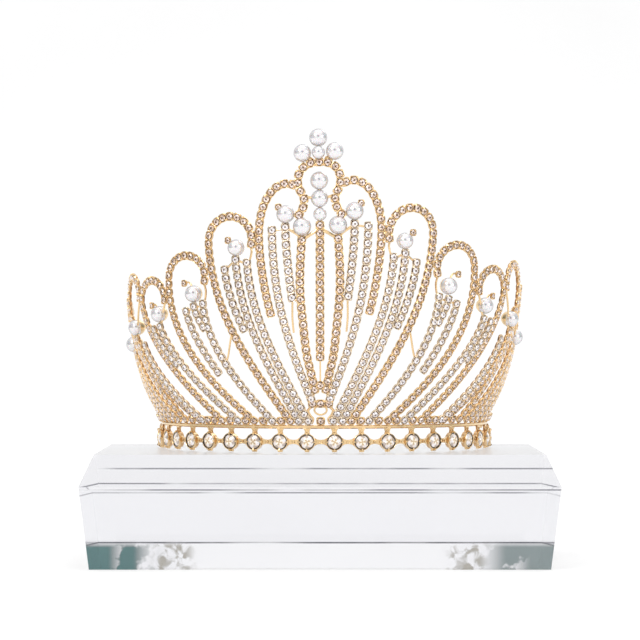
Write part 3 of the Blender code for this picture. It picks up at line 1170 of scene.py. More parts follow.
@dataclass(frozen=True)
class Band:
    """The band: a flat rail over a row of large set stones joined by links."""

    stones: int = 22
    step: float = 9.2
    end: float = 102.5
    stone_drop: float = 6.2 * MM
    foot_drop: float = 9.8 * MM
    standoff: float = 0.6 * MM
    link_in: float = 0.1 * MM
    bracket_in: float = 0.2 * MM
    cup_radius: float = 3.56 * MM
    stone_radius: float = 2.84 * MM
    # Width and colour of the ring of painted shadow round each large stone.
    shadow_width: float = 0.32 * MM
    shadow_tone: Colour = (0.07, 0.045, 0.03)
    girdle: float = 0.72 * MM
    rail_height: float = 1.5 * MM
    rail_thickness: float = 0.9 * MM
    rail_sections: int = 181
    stone_turn: float = 37.0
    first_seed: int = 700
    loop_radius: float = 2.4 * MM
    loop_wire: float = 0.6 * MM

    def angles(self) -> list[float]:
        """The angle of each stone, from left to right."""
        return [self.step * (number - (self.stones - 1) / 2) for number in range(self.stones)]

    def cup(self) -> Template:
        """The setting with its rim and four claws.

        Returns:
            The setting, with its middle at local height 0.
        """
        rim = self.cup_radius / MM
        profile = (
            (0.0, -1.30),
            (3.10, -1.30),
            (3.42, -1.10),
            (3.50, 0.30),
            (rim, 0.95),
            (3.50, 1.20),
            (3.38, 1.28),
            (3.26, 1.16),
            (3.20, 0.80),
            (3.14, -0.20),
            (0.0, -0.90),
        )
        claw = (
            (rim + 0.02, -0.60, rim - 0.30, -0.60, 1.10),
            (rim + 0.34, 0.70, rim - 0.30, 0.70, 0.96),
            (rim + 0.22, 1.35, rim - 0.30, 1.10, 0.86),
            (rim - 0.30, 1.70, rim - 0.45, 1.30, 0.70),
            (rim - 0.82, 1.52, rim - 0.84, 1.36, 0.42),
        )
        setting = lathe(in_mm(profile), 40).joined(*claws(in_mm(claw), 0))
        return setting.shaded(top=0.9, bottom=-0.8, back=-1.0)

    @staticmethod
    def plate(outline: Sequence[Pair], thickness: float) -> Template:
        """A flat plate with softened front edges.

        Args:
            outline: Its outline in local X and Y, in millimetres.
            thickness: Its thickness in millimetres.

        Returns:
            The plate, about local height 0.
        """
        half = thickness / 2
        middle = np.mean(outline, axis=0)
        front = middle + (np.array(outline) - middle) * 0.88
        levels = ((outline, -half), (outline, half * 0.6), (front, half))
        return loft([in_mm((x, y, height) for x, y in line) for line, height in levels])

    @staticmethod
    def eyelet() -> Template:
        """A raised ring round a hole that is darkened with painted shade.

        Returns:
            The ring, about local Z.
        """
        outer = ((0.0, -0.2), (0.66, -0.2), (0.74, 0.45), (0.62, 0.66))
        inner = ((0.44, 0.56), (0.38, 0.0), (0.0, -0.1))
        return lathe(in_mm(outer + inner), 16).shaded(top=0.6, bottom=0.1, back=-0.15)

    def link(self) -> Template:
        """The link between two settings: wide at its ends and waisted in the middle.

        Returns:
            The link, along local X.
        """
        pitch = math.radians(self.step) * (WALL.rail_radius + self.standoff)
        reach = (pitch / 2 - self.cup_radius) / MM + 0.35
        top = [(reach * share, 0.95 + 0.75 * abs(share) ** 2.4) for share in np.linspace(-1, 1, 13)]
        outline = [*reversed(top), *((x, -0.92 * y) for x, y in top)]
        eyelet = self.eyelet().moved(Matrix.Translation((0, 0, 0.3 * MM)))
        return self.plate(outline, 1.1).shaded(top=0.5, bottom=-0.8, back=-0.4).joined(eyelet)

    def bracket(self) -> Template:
        """The bracket that hangs a setting from the rail.

        Returns:
            The bracket, with the middle of the rail at the origin.
        """
        edge = ((1.9, -0.4), (1.25, -1.1), (0.95, -2.0), (1.3, -3.1))
        outline = [*((-x, y) for x, y in edge), *reversed(edge)]
        eyelet = self.eyelet().moved(Matrix.Translation((0, -1.65 * MM, 0.25 * MM)) @ Matrix.Scale(0.8, 4))
        return self.plate(outline, 1.0).shaded(top=0.45, bottom=-0.8, back=-0.4).joined(eyelet)

    def rail(self) -> Template:
        """The flat rail as a bent strip with softened edges.

        Returns:
            The rail in its place.
        """
        corners = ((1, -0.6), (1, 0.6), (0.4, 1), (-0.4, 1), (-1, 0.6), (-1, -0.6), (-0.4, -1), (0.4, -1))
        outline = [Vector((0.0, y * self.rail_height / 2, x * self.rail_thickness / 2)) for x, y in corners]
        angles = np.linspace(-self.end, self.end, self.rail_sections)
        seats = [WALL.band_seat(float(angle), 0.0) for angle in angles]
        return loft([[seat @ point for point in outline] for seat in seats])

    def loop(self, side: Side) -> Template:
        """The wire loop at one end of the rail.

        Args:
            side: The side of the crown.

        Returns:
            The loop in its place.
        """
        reach = math.degrees(self.loop_radius / WALL.rail_radius)
        seat = WALL.band_seat(side.value * (self.end + reach), 0.0)
        middle = [seat @ Vector((self.loop_radius * x, self.loop_radius * y, 0.0)) for x, y in circle(28)]
        return wire(middle, self.loop_wire, 10, closed=True)

    def build(self, finishes: "Finishes") -> None:
        """Builds the band's metal and its stones, each stone as its own piece.

        Args:
            finishes: The crown's finishes.
        """
        pile = MeshPile("band_metal")
        pile.stamp(self.rail())
        cup, link, bracket = self.cup(), self.link(), self.bracket()
        foot = self.plate(((-0.9, -0.6), (0.9, -0.6), (1.2, 0.8), (-1.2, 0.8)), 1.2)
        for number, angle in enumerate(self.angles(), 1):
            seat = WALL.band_seat(angle, -self.stone_drop, self.standoff)
            pile.stamp(cup, seat)
            pile.stamp(bracket, WALL.band_seat(angle, 0.0, self.standoff - self.bracket_in))
            pile.stamp(foot, WALL.band_seat(angle, -self.foot_drop, self.standoff))
            if number < self.stones:
                beside = angle + self.step / 2
                pile.stamp(link, WALL.band_seat(beside, -self.stone_drop, self.standoff - self.link_in))
            self.set_stone(number, seat, finishes)
        for side in Side:
            pile.stamp(self.loop(side))
        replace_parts(pile.make(finishes.gold, Slot.GOLD, sharp=35.0), "band")

    def set_stone(self, number: int, seat: Matrix, finishes: "Finishes") -> None:
        """Makes one large stone with the ring of painted shadow that shows round it.

        Args:
            number: The stone's number.
            seat: The placement of its setting.
            finishes: The crown's finishes.
        """
        cut = StoneCut(
            self.stone_radius, 0.95 * MM, 1.1 * MM, heart=0.17, table=0.50, shoulder=0.78, scatter=1
        )
        pile = MeshPile(f"band_stone_{number:02d}_cut")
        place = seat @ Matrix.Translation((0, 0, self.girdle))
        turn = Matrix.Rotation(math.radians(self.stone_turn * number), 4, "Z")
        pile.stamp(cut.template(CHAMPAGNE_SPARKLE, self.first_seed + number), place @ turn)
        pile.stamp(shadow_ring(self.stone_radius, self.shadow_width, 40, self.shadow_tone), place)
        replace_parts(pile.make(finishes.crystal, Slot.CRYSTAL, sharp=None), f"band_stone_{number:02d}")


@dataclass(frozen=True)
class Pearl:
    """A pearl and where it sits on the wall."""

    angle: float
    height: float
    radius: float
    standoff: float = 0.0


@dataclass(frozen=True)
class Pearls:
    """The pearls, each with a gold cap behind it."""

    middle: tuple[Pearl, ...] = (
        Pearl(0.0, 118.3 * MM, 3.70 * MM),
        Pearl(0.0, 112.2 * MM, 2.70 * MM, 2.2 * MM),
        Pearl(0.0, 100.8 * MM, 3.75 * MM),
        Pearl(0.0, 93.5 * MM, 3.62 * MM),
        Pearl(0.0, 87.1 * MM, 2.80 * MM),
    )
    sides: tuple[Pearl, ...] = (
        Pearl(4.5, 112.4 * MM, 3.66 * MM),
        Pearl(5.0, 82.4 * MM, 3.80 * MM),
        Pearl(9.7, 87.8 * MM, 3.72 * MM),
        Pearl(24.4, 75.0 * MM, 3.40 * MM),
        Pearl(38.9, 56.4 * MM, 3.50 * MM),
        Pearl(54.5, 48.2 * MM, 3.40 * MM),
        Pearl(72.6, 42.6 * MM, 3.40 * MM),
        Pearl(88.0, 35.1 * MM, 3.40 * MM),
    )

    def every(self) -> list[Pearl]:
        """All pearls in the order of their nodes."""
        pairs = [(replace(pearl, angle=-pearl.angle), pearl) for pearl in self.sides]
        return [*self.middle, *(pearl for pair in pairs for pearl in pair)]

    def build(self, finishes: "Finishes") -> None:
        """Builds each pearl as its own piece, and one piece for all caps.

        Args:
            finishes: The crown's finishes.
        """
        caps = MeshPile("pearl_caps")
        for number, pearl in enumerate(self.every(), 1):
            pile = MeshPile(f"pearl_{number:02d}_round")
            seat = WALL.seat(pearl.angle, pearl.height, pearl.standoff)
            pile.stamp(ball(pearl.radius, 24, 44), seat)
            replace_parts(pile.make(finishes.pearl, Slot.PEARL, sharp=180.0), f"pearl_{number:02d}")
            caps.stamp(self.cap(pearl.radius), seat)
        caps.make(finishes.gold, Slot.GOLD, sharp=40.0)

    @staticmethod
    def cap(radius: float) -> Template:
        """The gold cap that holds a pearl from behind.

        Args:
            radius: The pearl's radius.

        Returns:
            The cap, round a pearl at the origin.
        """
        shape = (
            (0.0, -1.16),
            (0.34, -1.14),
            (0.62, -0.96),
            (0.84, -0.68),
            (0.97, -0.34),
            (0.93, -0.30),
            (0.80, -0.60),
            (0.0, -0.90),
        )
        return lathe([(across * radius, height * radius) for across, height in shape], 24)


@dataclass(frozen=True)
class DisplayBlock:
    """The clear block, with polished and softened edges."""

    width: float = 195.4 * MM
    depth: float = 140.0 * MM
    height: float = 46.5 * MM
    chamfer_in: float = 5.9 * MM
    chamfer_down: float = 12.9 * MM
    taper: float = 4.0 * MM
    edge: float = 0.7 * MM
    # Heights of the strips that get painted dark lines, as reflections of the block's rear edges seen through
    # it.
    lines: tuple[float, ...] = (11.0 * MM, 32.5 * MM, 41.0 * MM)
    line_width: float = 0.6 * MM
    softened_from: float = 10.0
    sharp_from: float = 25.0

    def build(self, finishes: "Finishes") -> None:
        """Builds the block in place of the solid one.

        Args:
            finishes: The crown's finishes.
        """
        body = self.body()
        tones = np.array([self.tone(face) for face in body.faces])
        totals = [len(face.verts) for face in body.faces]
        mesh = bpy.data.meshes.new("display_block_clear")
        body.to_mesh(mesh)
        body.free()
        paint(mesh, tones, totals)
        mesh.shade_smooth()
        mesh.set_sharp_from_angle(angle=math.radians(self.sharp_from))
        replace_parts(add_piece(mesh, "display_block_clear", finishes.block), "display_block")

    def body(self) -> bmesh.types.BMesh:
        """The block as rings of corners from its underside up, with softened edges.

        Returns:
            The body.
        """
        body = bmesh.new()
        rings = []
        for height, inset in self.levels():
            half_x = self.width / 2 - inset
            half_y = self.depth / 2 - inset
            corners = ((-half_x, -half_y), (half_x, -half_y), (half_x, half_y), (-half_x, half_y))
            rings.append([body.verts.new((x, y, height)) for x, y in corners])
        body.faces.new(list(reversed(rings[0])))
        body.faces.new(rings[-1])
        for low, high in zip(rings, rings[1:]):
            for side in range(4):
                after = (side + 1) % 4
                body.faces.new((low[side], low[after], high[after], high[side]))
        bmesh.ops.bevel(
            body,
            geom=[edge for edge in body.edges if edge.calc_face_angle() > math.radians(self.softened_from)],
            offset=self.edge,
            segments=3,
            profile=0.5,
            affect="EDGES",
            clamp_overlap=True,
        )
        bmesh.ops.recalc_face_normals(body, faces=body.faces)
        return body

    def levels(self) -> list[Pair]:
        """The rings, with a pair of them at every line where a rear edge is painted as a dark reflection.

        Returns:
            Height and inset of each ring, from the underside up.
        """
        shoulder = self.height - self.chamfer_down
        levels = [(0.0, self.taper), (shoulder, 0.0), (self.height, self.chamfer_in)]
        for line in self.lines:
            for height in (line - self.line_width / 2, line + self.line_width / 2):
                inset = self.taper * (1 - height / shoulder)
                if height > shoulder:
                    inset = self.chamfer_in * (height - shoulder) / self.chamfer_down
                levels.append((height, inset))
        return sorted(levels)

    def tone(self, face: bmesh.types.BMFace) -> tuple[float, ...]:
        """Marks a face for the finish.

        Args:
            face: The face.

        Returns:
            1 in red on the lines and softened edges, which get painted dark reflections; in green on top,
            which gets painted light; in blue on the slopes, which get painted shade.
        """
        width = face.calc_area() / max(edge.calc_length() for edge in face.edges)
        up = face.normal.z
        return (float(width < self.edge), float(up > 0.99), float(0.2 < up < 0.99), 1.0)


class NodeBook:
    """Writes the nodes of one tree and joins them."""

    def __init__(self, tree: bpy.types.NodeTree) -> None:
        """Starts on an empty tree."""
        self.tree = tree
        tree.nodes.clear()

    def add(self, kind: str, settings: dict | None = None, **inputs: object) -> bpy.types.Node:
        """Adds a node.

        Args:
            kind: The node type.
            settings: Attributes to set on the node.
            inputs: Constants or sockets for its inputs, by name with _ for a
                space; a name such as i1 stands for the input of that number.
                A colour is given without its alpha.

        Returns:
            The new node.
        """
        node = self.tree.nodes.new(kind)
        for name, value in (settings or {}).items():
            setattr(node, name, value)
        for name, value in inputs.items():
            key = int(name[1:]) if name[0] == "i" and name[1:].isdigit() else name.replace("_", " ")
            socket = node.inputs[key]
            if isinstance(value, Socket):
                self.tree.links.new(value, socket)
            else:
                socket.default_value = (*value, 1.0) if socket.type == "RGBA" else value
        return node

    def place(self) -> Socket:
        """The place on the object."""
        return self.add("ShaderNodeTexCoord").outputs["Object"]

    def facet(self) -> Socket:
        """The colour that each face carries."""
        return self.add("ShaderNodeAttribute", {"attribute_name": "facet"}).outputs["Color"]

    def marks(self) -> bpy.types.NodeOutputs:
        """The channels of that colour."""
        return self.add("ShaderNodeSeparateColor", Color=self.facet()).outputs

    def noise(self, place: Socket, scale: float | Socket, detail: float, **more: object) -> Socket:
        """A cloudy value over a place, with more inputs by name."""
        return self.add("ShaderNodeTexNoise", Vector=place, Scale=scale, Detail=detail, **more).outputs["Fac"]

    def spread(self, value: Socket, low: object, high: object) -> Socket:
        """A cloudy value spread from a low to a high one."""
        span = {"From_Min": 0.3, "From_Max": 0.7}
        return self.add("ShaderNodeMapRange", Value=value, To_Min=low, To_Max=high, **span).outputs[0]

    def step(self, value: Socket, start: float, end: float) -> Socket:
        """A soft step of a value from 0 at the start to 1 at the end."""
        soft = {"interpolation_type": "SMOOTHSTEP"}
        return self.add("ShaderNodeMapRange", soft, Value=value, From_Min=start, From_Max=end).outputs[0]

    def math(self, operation: str, *values: Socket | float) -> Socket:
        """A sum done on one or two values."""
        inputs = {f"i{number}": value for number, value in enumerate(values)}
        return self.add("ShaderNodeMath", {"operation": operation}, **inputs).outputs[0]

    def times(self, *masks: Socket | float) -> Socket:
        """The product of several masks."""
        product = masks[0]
        for mask in masks[1:]:
            product = self.math("MULTIPLY", product, mask)
        return product

    def mix(self, mask: Socket | float, under: object, over: object, blend: str = "MIX") -> Socket:
        """One colour laid over another by a mask."""
        settings = {"data_type": "RGBA", "blend_type": blend}
        return self.add("ShaderNodeMix", settings, i0=mask, i6=under, i7=over).outputs[2]

    def group(self, tree: bpy.types.NodeTree, **inputs: object) -> bpy.types.NodeOutputs:
        """A shared group with its own values."""
        return self.add("ShaderNodeGroup", {"node_tree": tree}, **inputs).outputs

    def ramp(self, factor: Socket, stops: Sequence[tuple[float, Colour]]) -> Socket:
        """Adds a colour ramp.

        Args:
            factor: The value that runs along it.
            stops: Position and colour of each stop.

        Returns:
            Its colour.
        """
        node = self.add("ShaderNodeValToRGB", Fac=factor)
        elements = node.color_ramp.elements
        while len(elements) < len(stops):
            elements.new(0.5)
        for element, (position, colour) in zip(elements, stops):
            element.position = position
            element.color = (*colour, 1.0)
        return node.outputs["Color"]

    def surface(self, **inputs: object) -> None:
        """Adds the shader of a material with its inputs and joins it to the output."""
        shader = self.add("ShaderNodeBsdfPrincipled", **inputs)
        self.add("ShaderNodeOutputMaterial", Surface=shader.outputs[0])


def new_group(name: str, inputs: dict[str, object], outputs: dict[str, str]) -> NodeBook:
    """Starts a shader node group.

    Args:
        name: The group's name.
        inputs: Name and default of each input, a colour with its alpha or a number.
        outputs: Name and socket type of each output.

    Returns:
        The book for its nodes.
    """
    group = bpy.data.node_groups.new(name, "ShaderNodeTree")
    for label, default in inputs.items():
        kind = "NodeSocketColor" if isinstance(default, tuple) else "NodeSocketFloat"
        group.interface.new_socket(label, in_out="INPUT", socket_type=kind).default_value = default
    for label, kind in outputs.items():
        group.interface.new_socket(label, in_out="OUTPUT", socket_type=kind)
    return NodeBook(group)


def polish_group() -> bpy.types.NodeTree:
    """Uneven polish: cloudy tone, roughness spread and fine scratches as a height.

    Returns:
        The group.
    """
    book = new_group(
        "uneven_polish",
        {"Scale": 300.0, "Roughness Low": 0.1, "Roughness High": 0.2},
        {"Tone": "NodeSocketFloat", "Roughness": "NodeSocketFloat", "Height": "NodeSocketFloat"},
    )
    given = book.add("NodeGroupInput").outputs
    place = book.place()
    cloud = book.noise(place, given["Scale"], 3.0, Roughness=0.55)
    fine = book.noise(place, book.math("MULTIPLY", given["Scale"], 6.0), 2.0)
    roughness = book.spread(cloud, given["Roughness Low"], given["Roughness High"])
    book.add("NodeGroupOutput", Tone=cloud, Roughness=roughness, Height=fine)
    return book.tree


def rim_group() -> bpy.types.NodeTree:
    """Mixes two colours and a tint by a mask, for painted light or shade towards a body's edge and for
    painted dark lines.

    Returns:
        The group.
    """
    book = new_group(
        "rim_tint",
        {
            "Mask": 0.5,
            "Face": (1.0, 1.0, 1.0, 1.0),
            "Edge": (0.5, 0.5, 0.5, 1.0),
            "Tone": 0.5,
            "Tone Share": 0.1,
        },
        {"Colour": "NodeSocketColor"},
    )
    given = book.add("NodeGroupInput").outputs
    mixed = book.mix(given["Mask"], given["Face"], given["Edge"])
    grey = book.spread(given["Tone"], 0.7, 1.0)
    shade = book.add("ShaderNodeCombineColor", Red=grey, Green=grey, Blue=grey).outputs[0]
    book.add("NodeGroupOutput", Colour=book.mix(given["Tone Share"], mixed, shade, "MULTIPLY"))
    return book.tree


@dataclass(frozen=True)
class Effects:
    """The node groups that several finishes share."""

    polish: bpy.types.NodeTree
    rim: bpy.types.NodeTree


def start_material(name: str) -> tuple[bpy.types.Material, NodeBook]:
    """Starts a material.

    Args:
        name: Its name.

    Returns:
        The material and the book for its nodes.
    """
    made = bpy.data.materials.new(name)
    made.use_nodes = True
    return made, NodeBook(made.node_tree)


@dataclass(frozen=True)
class Finish:
    """A material whose colour gives way unevenly to an edge colour, and whose polish varies."""

    title: str
    edge: Colour
    tone_share: float
    polish_scale: float
    roughness: Pair

    def body(self, book: NodeBook) -> tuple[Socket | float, Socket | Colour]:
        """The mask of the edge colour and the colour under it, which each finish gives."""
        raise NotImplementedError

    def gloss(self, book: NodeBook, polish: bpy.types.NodeOutputs) -> dict[str, object]:
        """The shader's other inputs by name, which each finish gives."""
        raise NotImplementedError

    def make(self, effects: Effects) -> bpy.types.Material:
        """Makes the material.

        Args:
            effects: The shared node groups.

        Returns:
            The material.
        """
        made, book = start_material(self.title)
        low, high = self.roughness
        polish = book.group(effects.polish, Scale=self.polish_scale, Roughness_Low=low, Roughness_High=high)
        mask, face = self.body(book)
        colour = book.group(
            effects.rim,
            Mask=mask,
            Face=face,
            Edge=self.edge,
            Tone=polish["Tone"],
            Tone_Share=self.tone_share,
        )["Colour"]
        book.surface(**{"Base_Color": colour, "Roughness": polish["Roughness"], **self.gloss(book, polish)})
        return made


@dataclass(frozen=True)
class GoldFinish(Finish):
    """Pale plated gold, with painted shade in its folds and a painted highlight at its rims."""

    title: str = "pale_gold_plate"
    # The painted highlight laid on the rims, where the surface turns away from view.
    edge: Colour = (0.99, 0.82, 0.55)
    tone_share: float = 0.55
    polish_scale: float = 420.0
    roughness: Pair = (0.13, 0.26)
    face: Colour = (0.95, 0.68, 0.37)
    pale: Colour = (0.90, 0.76, 0.58)
    # The colour of the painted shade in the folds of the settings.
    painted_shade: Colour = (0.52, 0.24, 0.08)
    rim_blend: float = 0.35
    rim_share: float = 0.6
    scratch: float = 0.04 * MM
    scratch_strength: float = 0.12

    def body(self, book: NodeBook) -> tuple[Socket, Socket]:
        """Paler metal by the faces' red channel, painted shade by the green one.

        Args:
            book: The book of the material.

        Returns:
            The mask of the edge colour and the colour under it.
        """
        # Painted highlight at the rims, and painted shade in the folds from the green channel.
        facing = book.add("ShaderNodeLayerWeight", Blend=self.rim_blend).outputs["Facing"]
        marks = book.marks()
        plain = book.mix(marks["Red"], self.face, self.pale)
        return book.times(facing, self.rim_share), book.mix(marks["Green"], plain, self.painted_shade)

    def gloss(self, book: NodeBook, polish: bpy.types.NodeOutputs) -> dict[str, object]:
        """Plain metal with fine scratches.

        Args:
            book: The book of the material.
            polish: The uneven polish.

        Returns:
            The shader's other inputs by name.
        """
        bump = book.add(
            "ShaderNodeBump", Strength=self.scratch_strength, Distance=self.scratch, Height=polish["Height"]
        )
        return {"Metallic": 1.0, "Normal": bump.outputs[0]}


@dataclass(frozen=True)
class CrystalFinish(Finish):
    """Foil-backed cut crystal: every facet shows its own colour, partly the stone's tint and partly a painted
    reflection or glint.
    """

    title: str = "cut_crystal"
    edge: Colour = (1.0, 1.0, 1.0)
    tone_share: float = 0.5
    polish_scale: float = 900.0
    roughness: Pair = (0.02, 0.09)
    metallic: float = 0.28
    coat: float = 1.0
    coat_roughness: float = 0.01
    # Strength and contrast of the painted glow that makes the palest facets shine as glints.
    flash: float = 0.24
    flash_contrast: float = 6.0

    def body(self, book: NodeBook) -> tuple[float, Socket]:
        """No edge colour, and each facet's colour, partly its tint and partly a painted reflection."""
        return 0.0, book.facet()

    def gloss(self, book: NodeBook, polish: bpy.types.NodeOutputs) -> dict[str, object]:
        """A clear coat over the metal backing, and a painted glow from the palest facets that stands in for
        glints.

        Args:
            book: The book of the material.
            polish: The uneven polish, which isn't needed here.

        Returns:
            The shader's other inputs by name.
        """
        # Painted glints: the palest facet colours give off light, though no lamp is there.
        flash = book.add("ShaderNodeGamma", Color=book.facet(), Gamma=self.flash_contrast)
        return {
            "Metallic": self.metallic,
            "Coat_Weight": self.coat,
            "Coat_Roughness": self.coat_roughness,
            "Emission_Color": flash.outputs[0],
            "Emission_Strength": self.flash,
        }


@dataclass(frozen=True)
class PearlFinish(Finish):
    """Pearl: white with a painted lavender-grey shade towards its rim and a soft coat."""

    title: str = "nacre"
    # The colour of the painted shade towards the pearl's rim.
    edge: Colour = (0.15, 0.13, 0.16)
    tone_share: float = 0.15
    polish_scale: float = 160.0
    roughness: Pair = (0.10, 0.18)
    face: Colour = (0.90, 0.88, 0.89)
    rim_blend: float = 0.5
    rim_from: float = 0.26
    metallic: float = 0.45
    glow: float = 0.15
    glow_depth: float = 1.2 * MM
    coat_roughness: float = 0.03
    coat_ior: float = 1.8

    def body(self, book: NodeBook) -> tuple[Socket, Colour]:
        """Painted shade that deepens softly towards the rim, over a white face."""
        facing = book.add("ShaderNodeLayerWeight", Blend=self.rim_blend).outputs["Facing"]
        return book.step(facing, self.rim_from, 1.0), self.face

    def gloss(self, book: NodeBook, polish: bpy.types.NodeOutputs) -> dict[str, object]:
        """Lustre under a coat.

        Args:
            book: The book of the material, which isn't needed here.
            polish: The uneven polish, which isn't needed here.

        Returns:
            The shader's other inputs by name.
        """
        return {
            "Metallic": self.metallic,
            "Subsurface_Weight": self.glow,
            "Subsurface_Scale": self.glow_depth,
            "Coat_Weight": 1.0,
            "Coat_Roughness": self.coat_roughness,
            "Coat_IOR": self.coat_ior,
        }


@dataclass(frozen=True)
class BlockFinish(Finish):
    """Clear cast block with a faint cool tint, dark lines painted as reflections of its edges, and painted
    reflections and a painted highlight low in front.

    Each pair of places gives where a mask starts and where it is full.
    """

    title: str = "clear_cast_block"
    # The colour of the dark lines painted on the edges and strips, as reflections of the block's edges.
    edge: Colour = (0.11, 0.11, 0.13)
    tone_share: float = 0.03
    polish_scale: float = 24.0
    roughness: Pair = (0.0, 0.03)
    tint: Colour = (0.865, 0.866, 0.895)
    # clear is the painted light on the top face and low in front; slope is the painted shade of the slopes.
    clear: Colour = (0.99, 0.99, 1.0)
    slope: Colour = (0.78, 0.78, 0.80)
    # Colours of the painted reflections low in front: dark teal, grey, and dark speckles.
    dark_reflection: Colour = (0.012, 0.045, 0.045)
    grey_reflection: Colour = (0.07, 0.10, 0.10)
    speckled_reflection: Colour = (0.22, 0.20, 0.16)
    ior: float = 1.49
    top_roughness: float = 0.32
    drift_scale: float = 26.0
    cloud_scale: float = 110.0
    speckle_scale: float = 210.0
    line_drift: Pair = (0.30, 0.56)
    reflection_gaps: Pair = (0.40, 0.52)
    speckle_gaps: Pair = (0.44, 0.62)
    front: Pair = (-60.0 * MM, -66.0 * MM)
    low: Pair = (12.5 * MM, 9.0 * MM)
    # The next two place the painted highlight low in front; those after them place the painted reflections.
    bright_low: Pair = (11.4 * MM, 10.8 * MM)
    bright_middle: Pair = (62.0 * MM, 46.0 * MM)
    left: Pair = (20.0 * MM, -20.0 * MM)
    reflection_out: Pair = (62.0 * MM, 76.0 * MM)
    solid_out: Pair = (74.0 * MM, 86.0 * MM)
    speckle_out: Pair = (49.0 * MM, 55.0 * MM)
    speckle_in: Pair = (70.0 * MM, 64.0 * MM)

    def body(self, book: NodeBook) -> tuple[Socket, Socket]:
        """Dark lines painted along the edges as reflections of the block's edges, fading in and out, over the
        tint.

        Args:
            book: The book of the material.

        Returns:
            The mask of the edge colour and the colour under it.
        """
        marks = book.marks()
        drift = book.noise(book.place(), self.drift_scale, 2.0)
        return book.times(marks["Red"], book.step(drift, *self.line_drift)), self.tinted(book, marks)

    def gloss(self, book: NodeBook, polish: bpy.types.NodeOutputs) -> dict[str, object]:
        """Clear glass with a satin top.

        Args:
            book: The book of the material.
            polish: The uneven polish.

        Returns:
            The shader's other inputs by name.
        """
        top = book.marks()["Green"]
        plain = {"data_type": "FLOAT"}
        satin = book.add("ShaderNodeMix", plain, i0=top, i2=polish["Roughness"], i3=self.top_roughness)
        return {"Metallic": 0.0, "Roughness": satin.outputs[0], "IOR": self.ior, "Transmission_Weight": 1.0}

    def tinted(self, book: NodeBook, marks: bpy.types.NodeOutputs) -> Socket:
        """The tint, with painted shade on the slopes, painted light on top, and painted reflections and a
        painted highlight low in front.

        Args:
            book: The book of the material.
            marks: Masks of the edges, the top face and the slopes, by colour channel.

        Returns:
            The colour.
        """
        place = book.place()
        parts = book.add("ShaderNodeSeparateXYZ", Vector=place).outputs
        aside = book.math("ABSOLUTE", parts["X"])
        front = book.step(parts["Y"], *self.front)
        low = book.times(book.step(parts["Z"], *self.low), front)
        # Painted highlight: low in front, away from the sides, the tint gives way to a clear colour.
        bright_low = book.step(parts["Z"], *self.bright_low)
        bright = book.times(bright_low, front, book.step(aside, *self.bright_middle))
        # Painted reflections: dark teal and grey patches at the lower front corners, and dark speckles nearer
        # the middle.
        cloud = book.noise(place, self.cloud_scale, 3.0)
        patchy = book.math("MAXIMUM", book.step(cloud, *self.reflection_gaps), book.step(aside, *self.solid_out))
        dark = book.times(book.step(aside, *self.reflection_out), low, patchy)
        speckles = book.step(book.noise(place, self.speckle_scale, 2.0, Distortion=0.6), *self.speckle_gaps)
        speckled = book.times(low, book.step(aside, *self.speckle_out), book.step(aside, *self.speckle_in), speckles)
        dark_reflection = book.mix(book.step(parts["X"], *self.left), self.grey_reflection, self.dark_reflection)
        # Painted shade on the slopes and painted light on the top face.
        sloped = book.mix(marks["Blue"], self.tint, self.slope)
        clear = book.mix(marks["Green"], sloped, self.clear)
        lit = book.mix(bright, clear, self.clear)
        return book.mix(dark, book.mix(speckled, lit, self.speckled_reflection), dark_reflection)


@dataclass(frozen=True)
class Finishes:
    """Every finish of the crown and its block."""

    gold: bpy.types.Material
    crystal: bpy.types.Material
    pearl: bpy.types.Material
    block: bpy.types.Material

    @classmethod
    def make(cls) -> "Finishes":
        """Makes the shared groups once and each finish from them."""
        effects = Effects(polish_group(), rim_group())
        kinds = (GoldFinish, CrystalFinish, PearlFinish, BlockFinish)
        return cls(*(kind().make(effects) for kind in kinds))


@dataclass(frozen=True)
class Lamp:
    """A square soft light."""

    name: str
    place: Triple
    size: float
    power: float
    colour: Colour


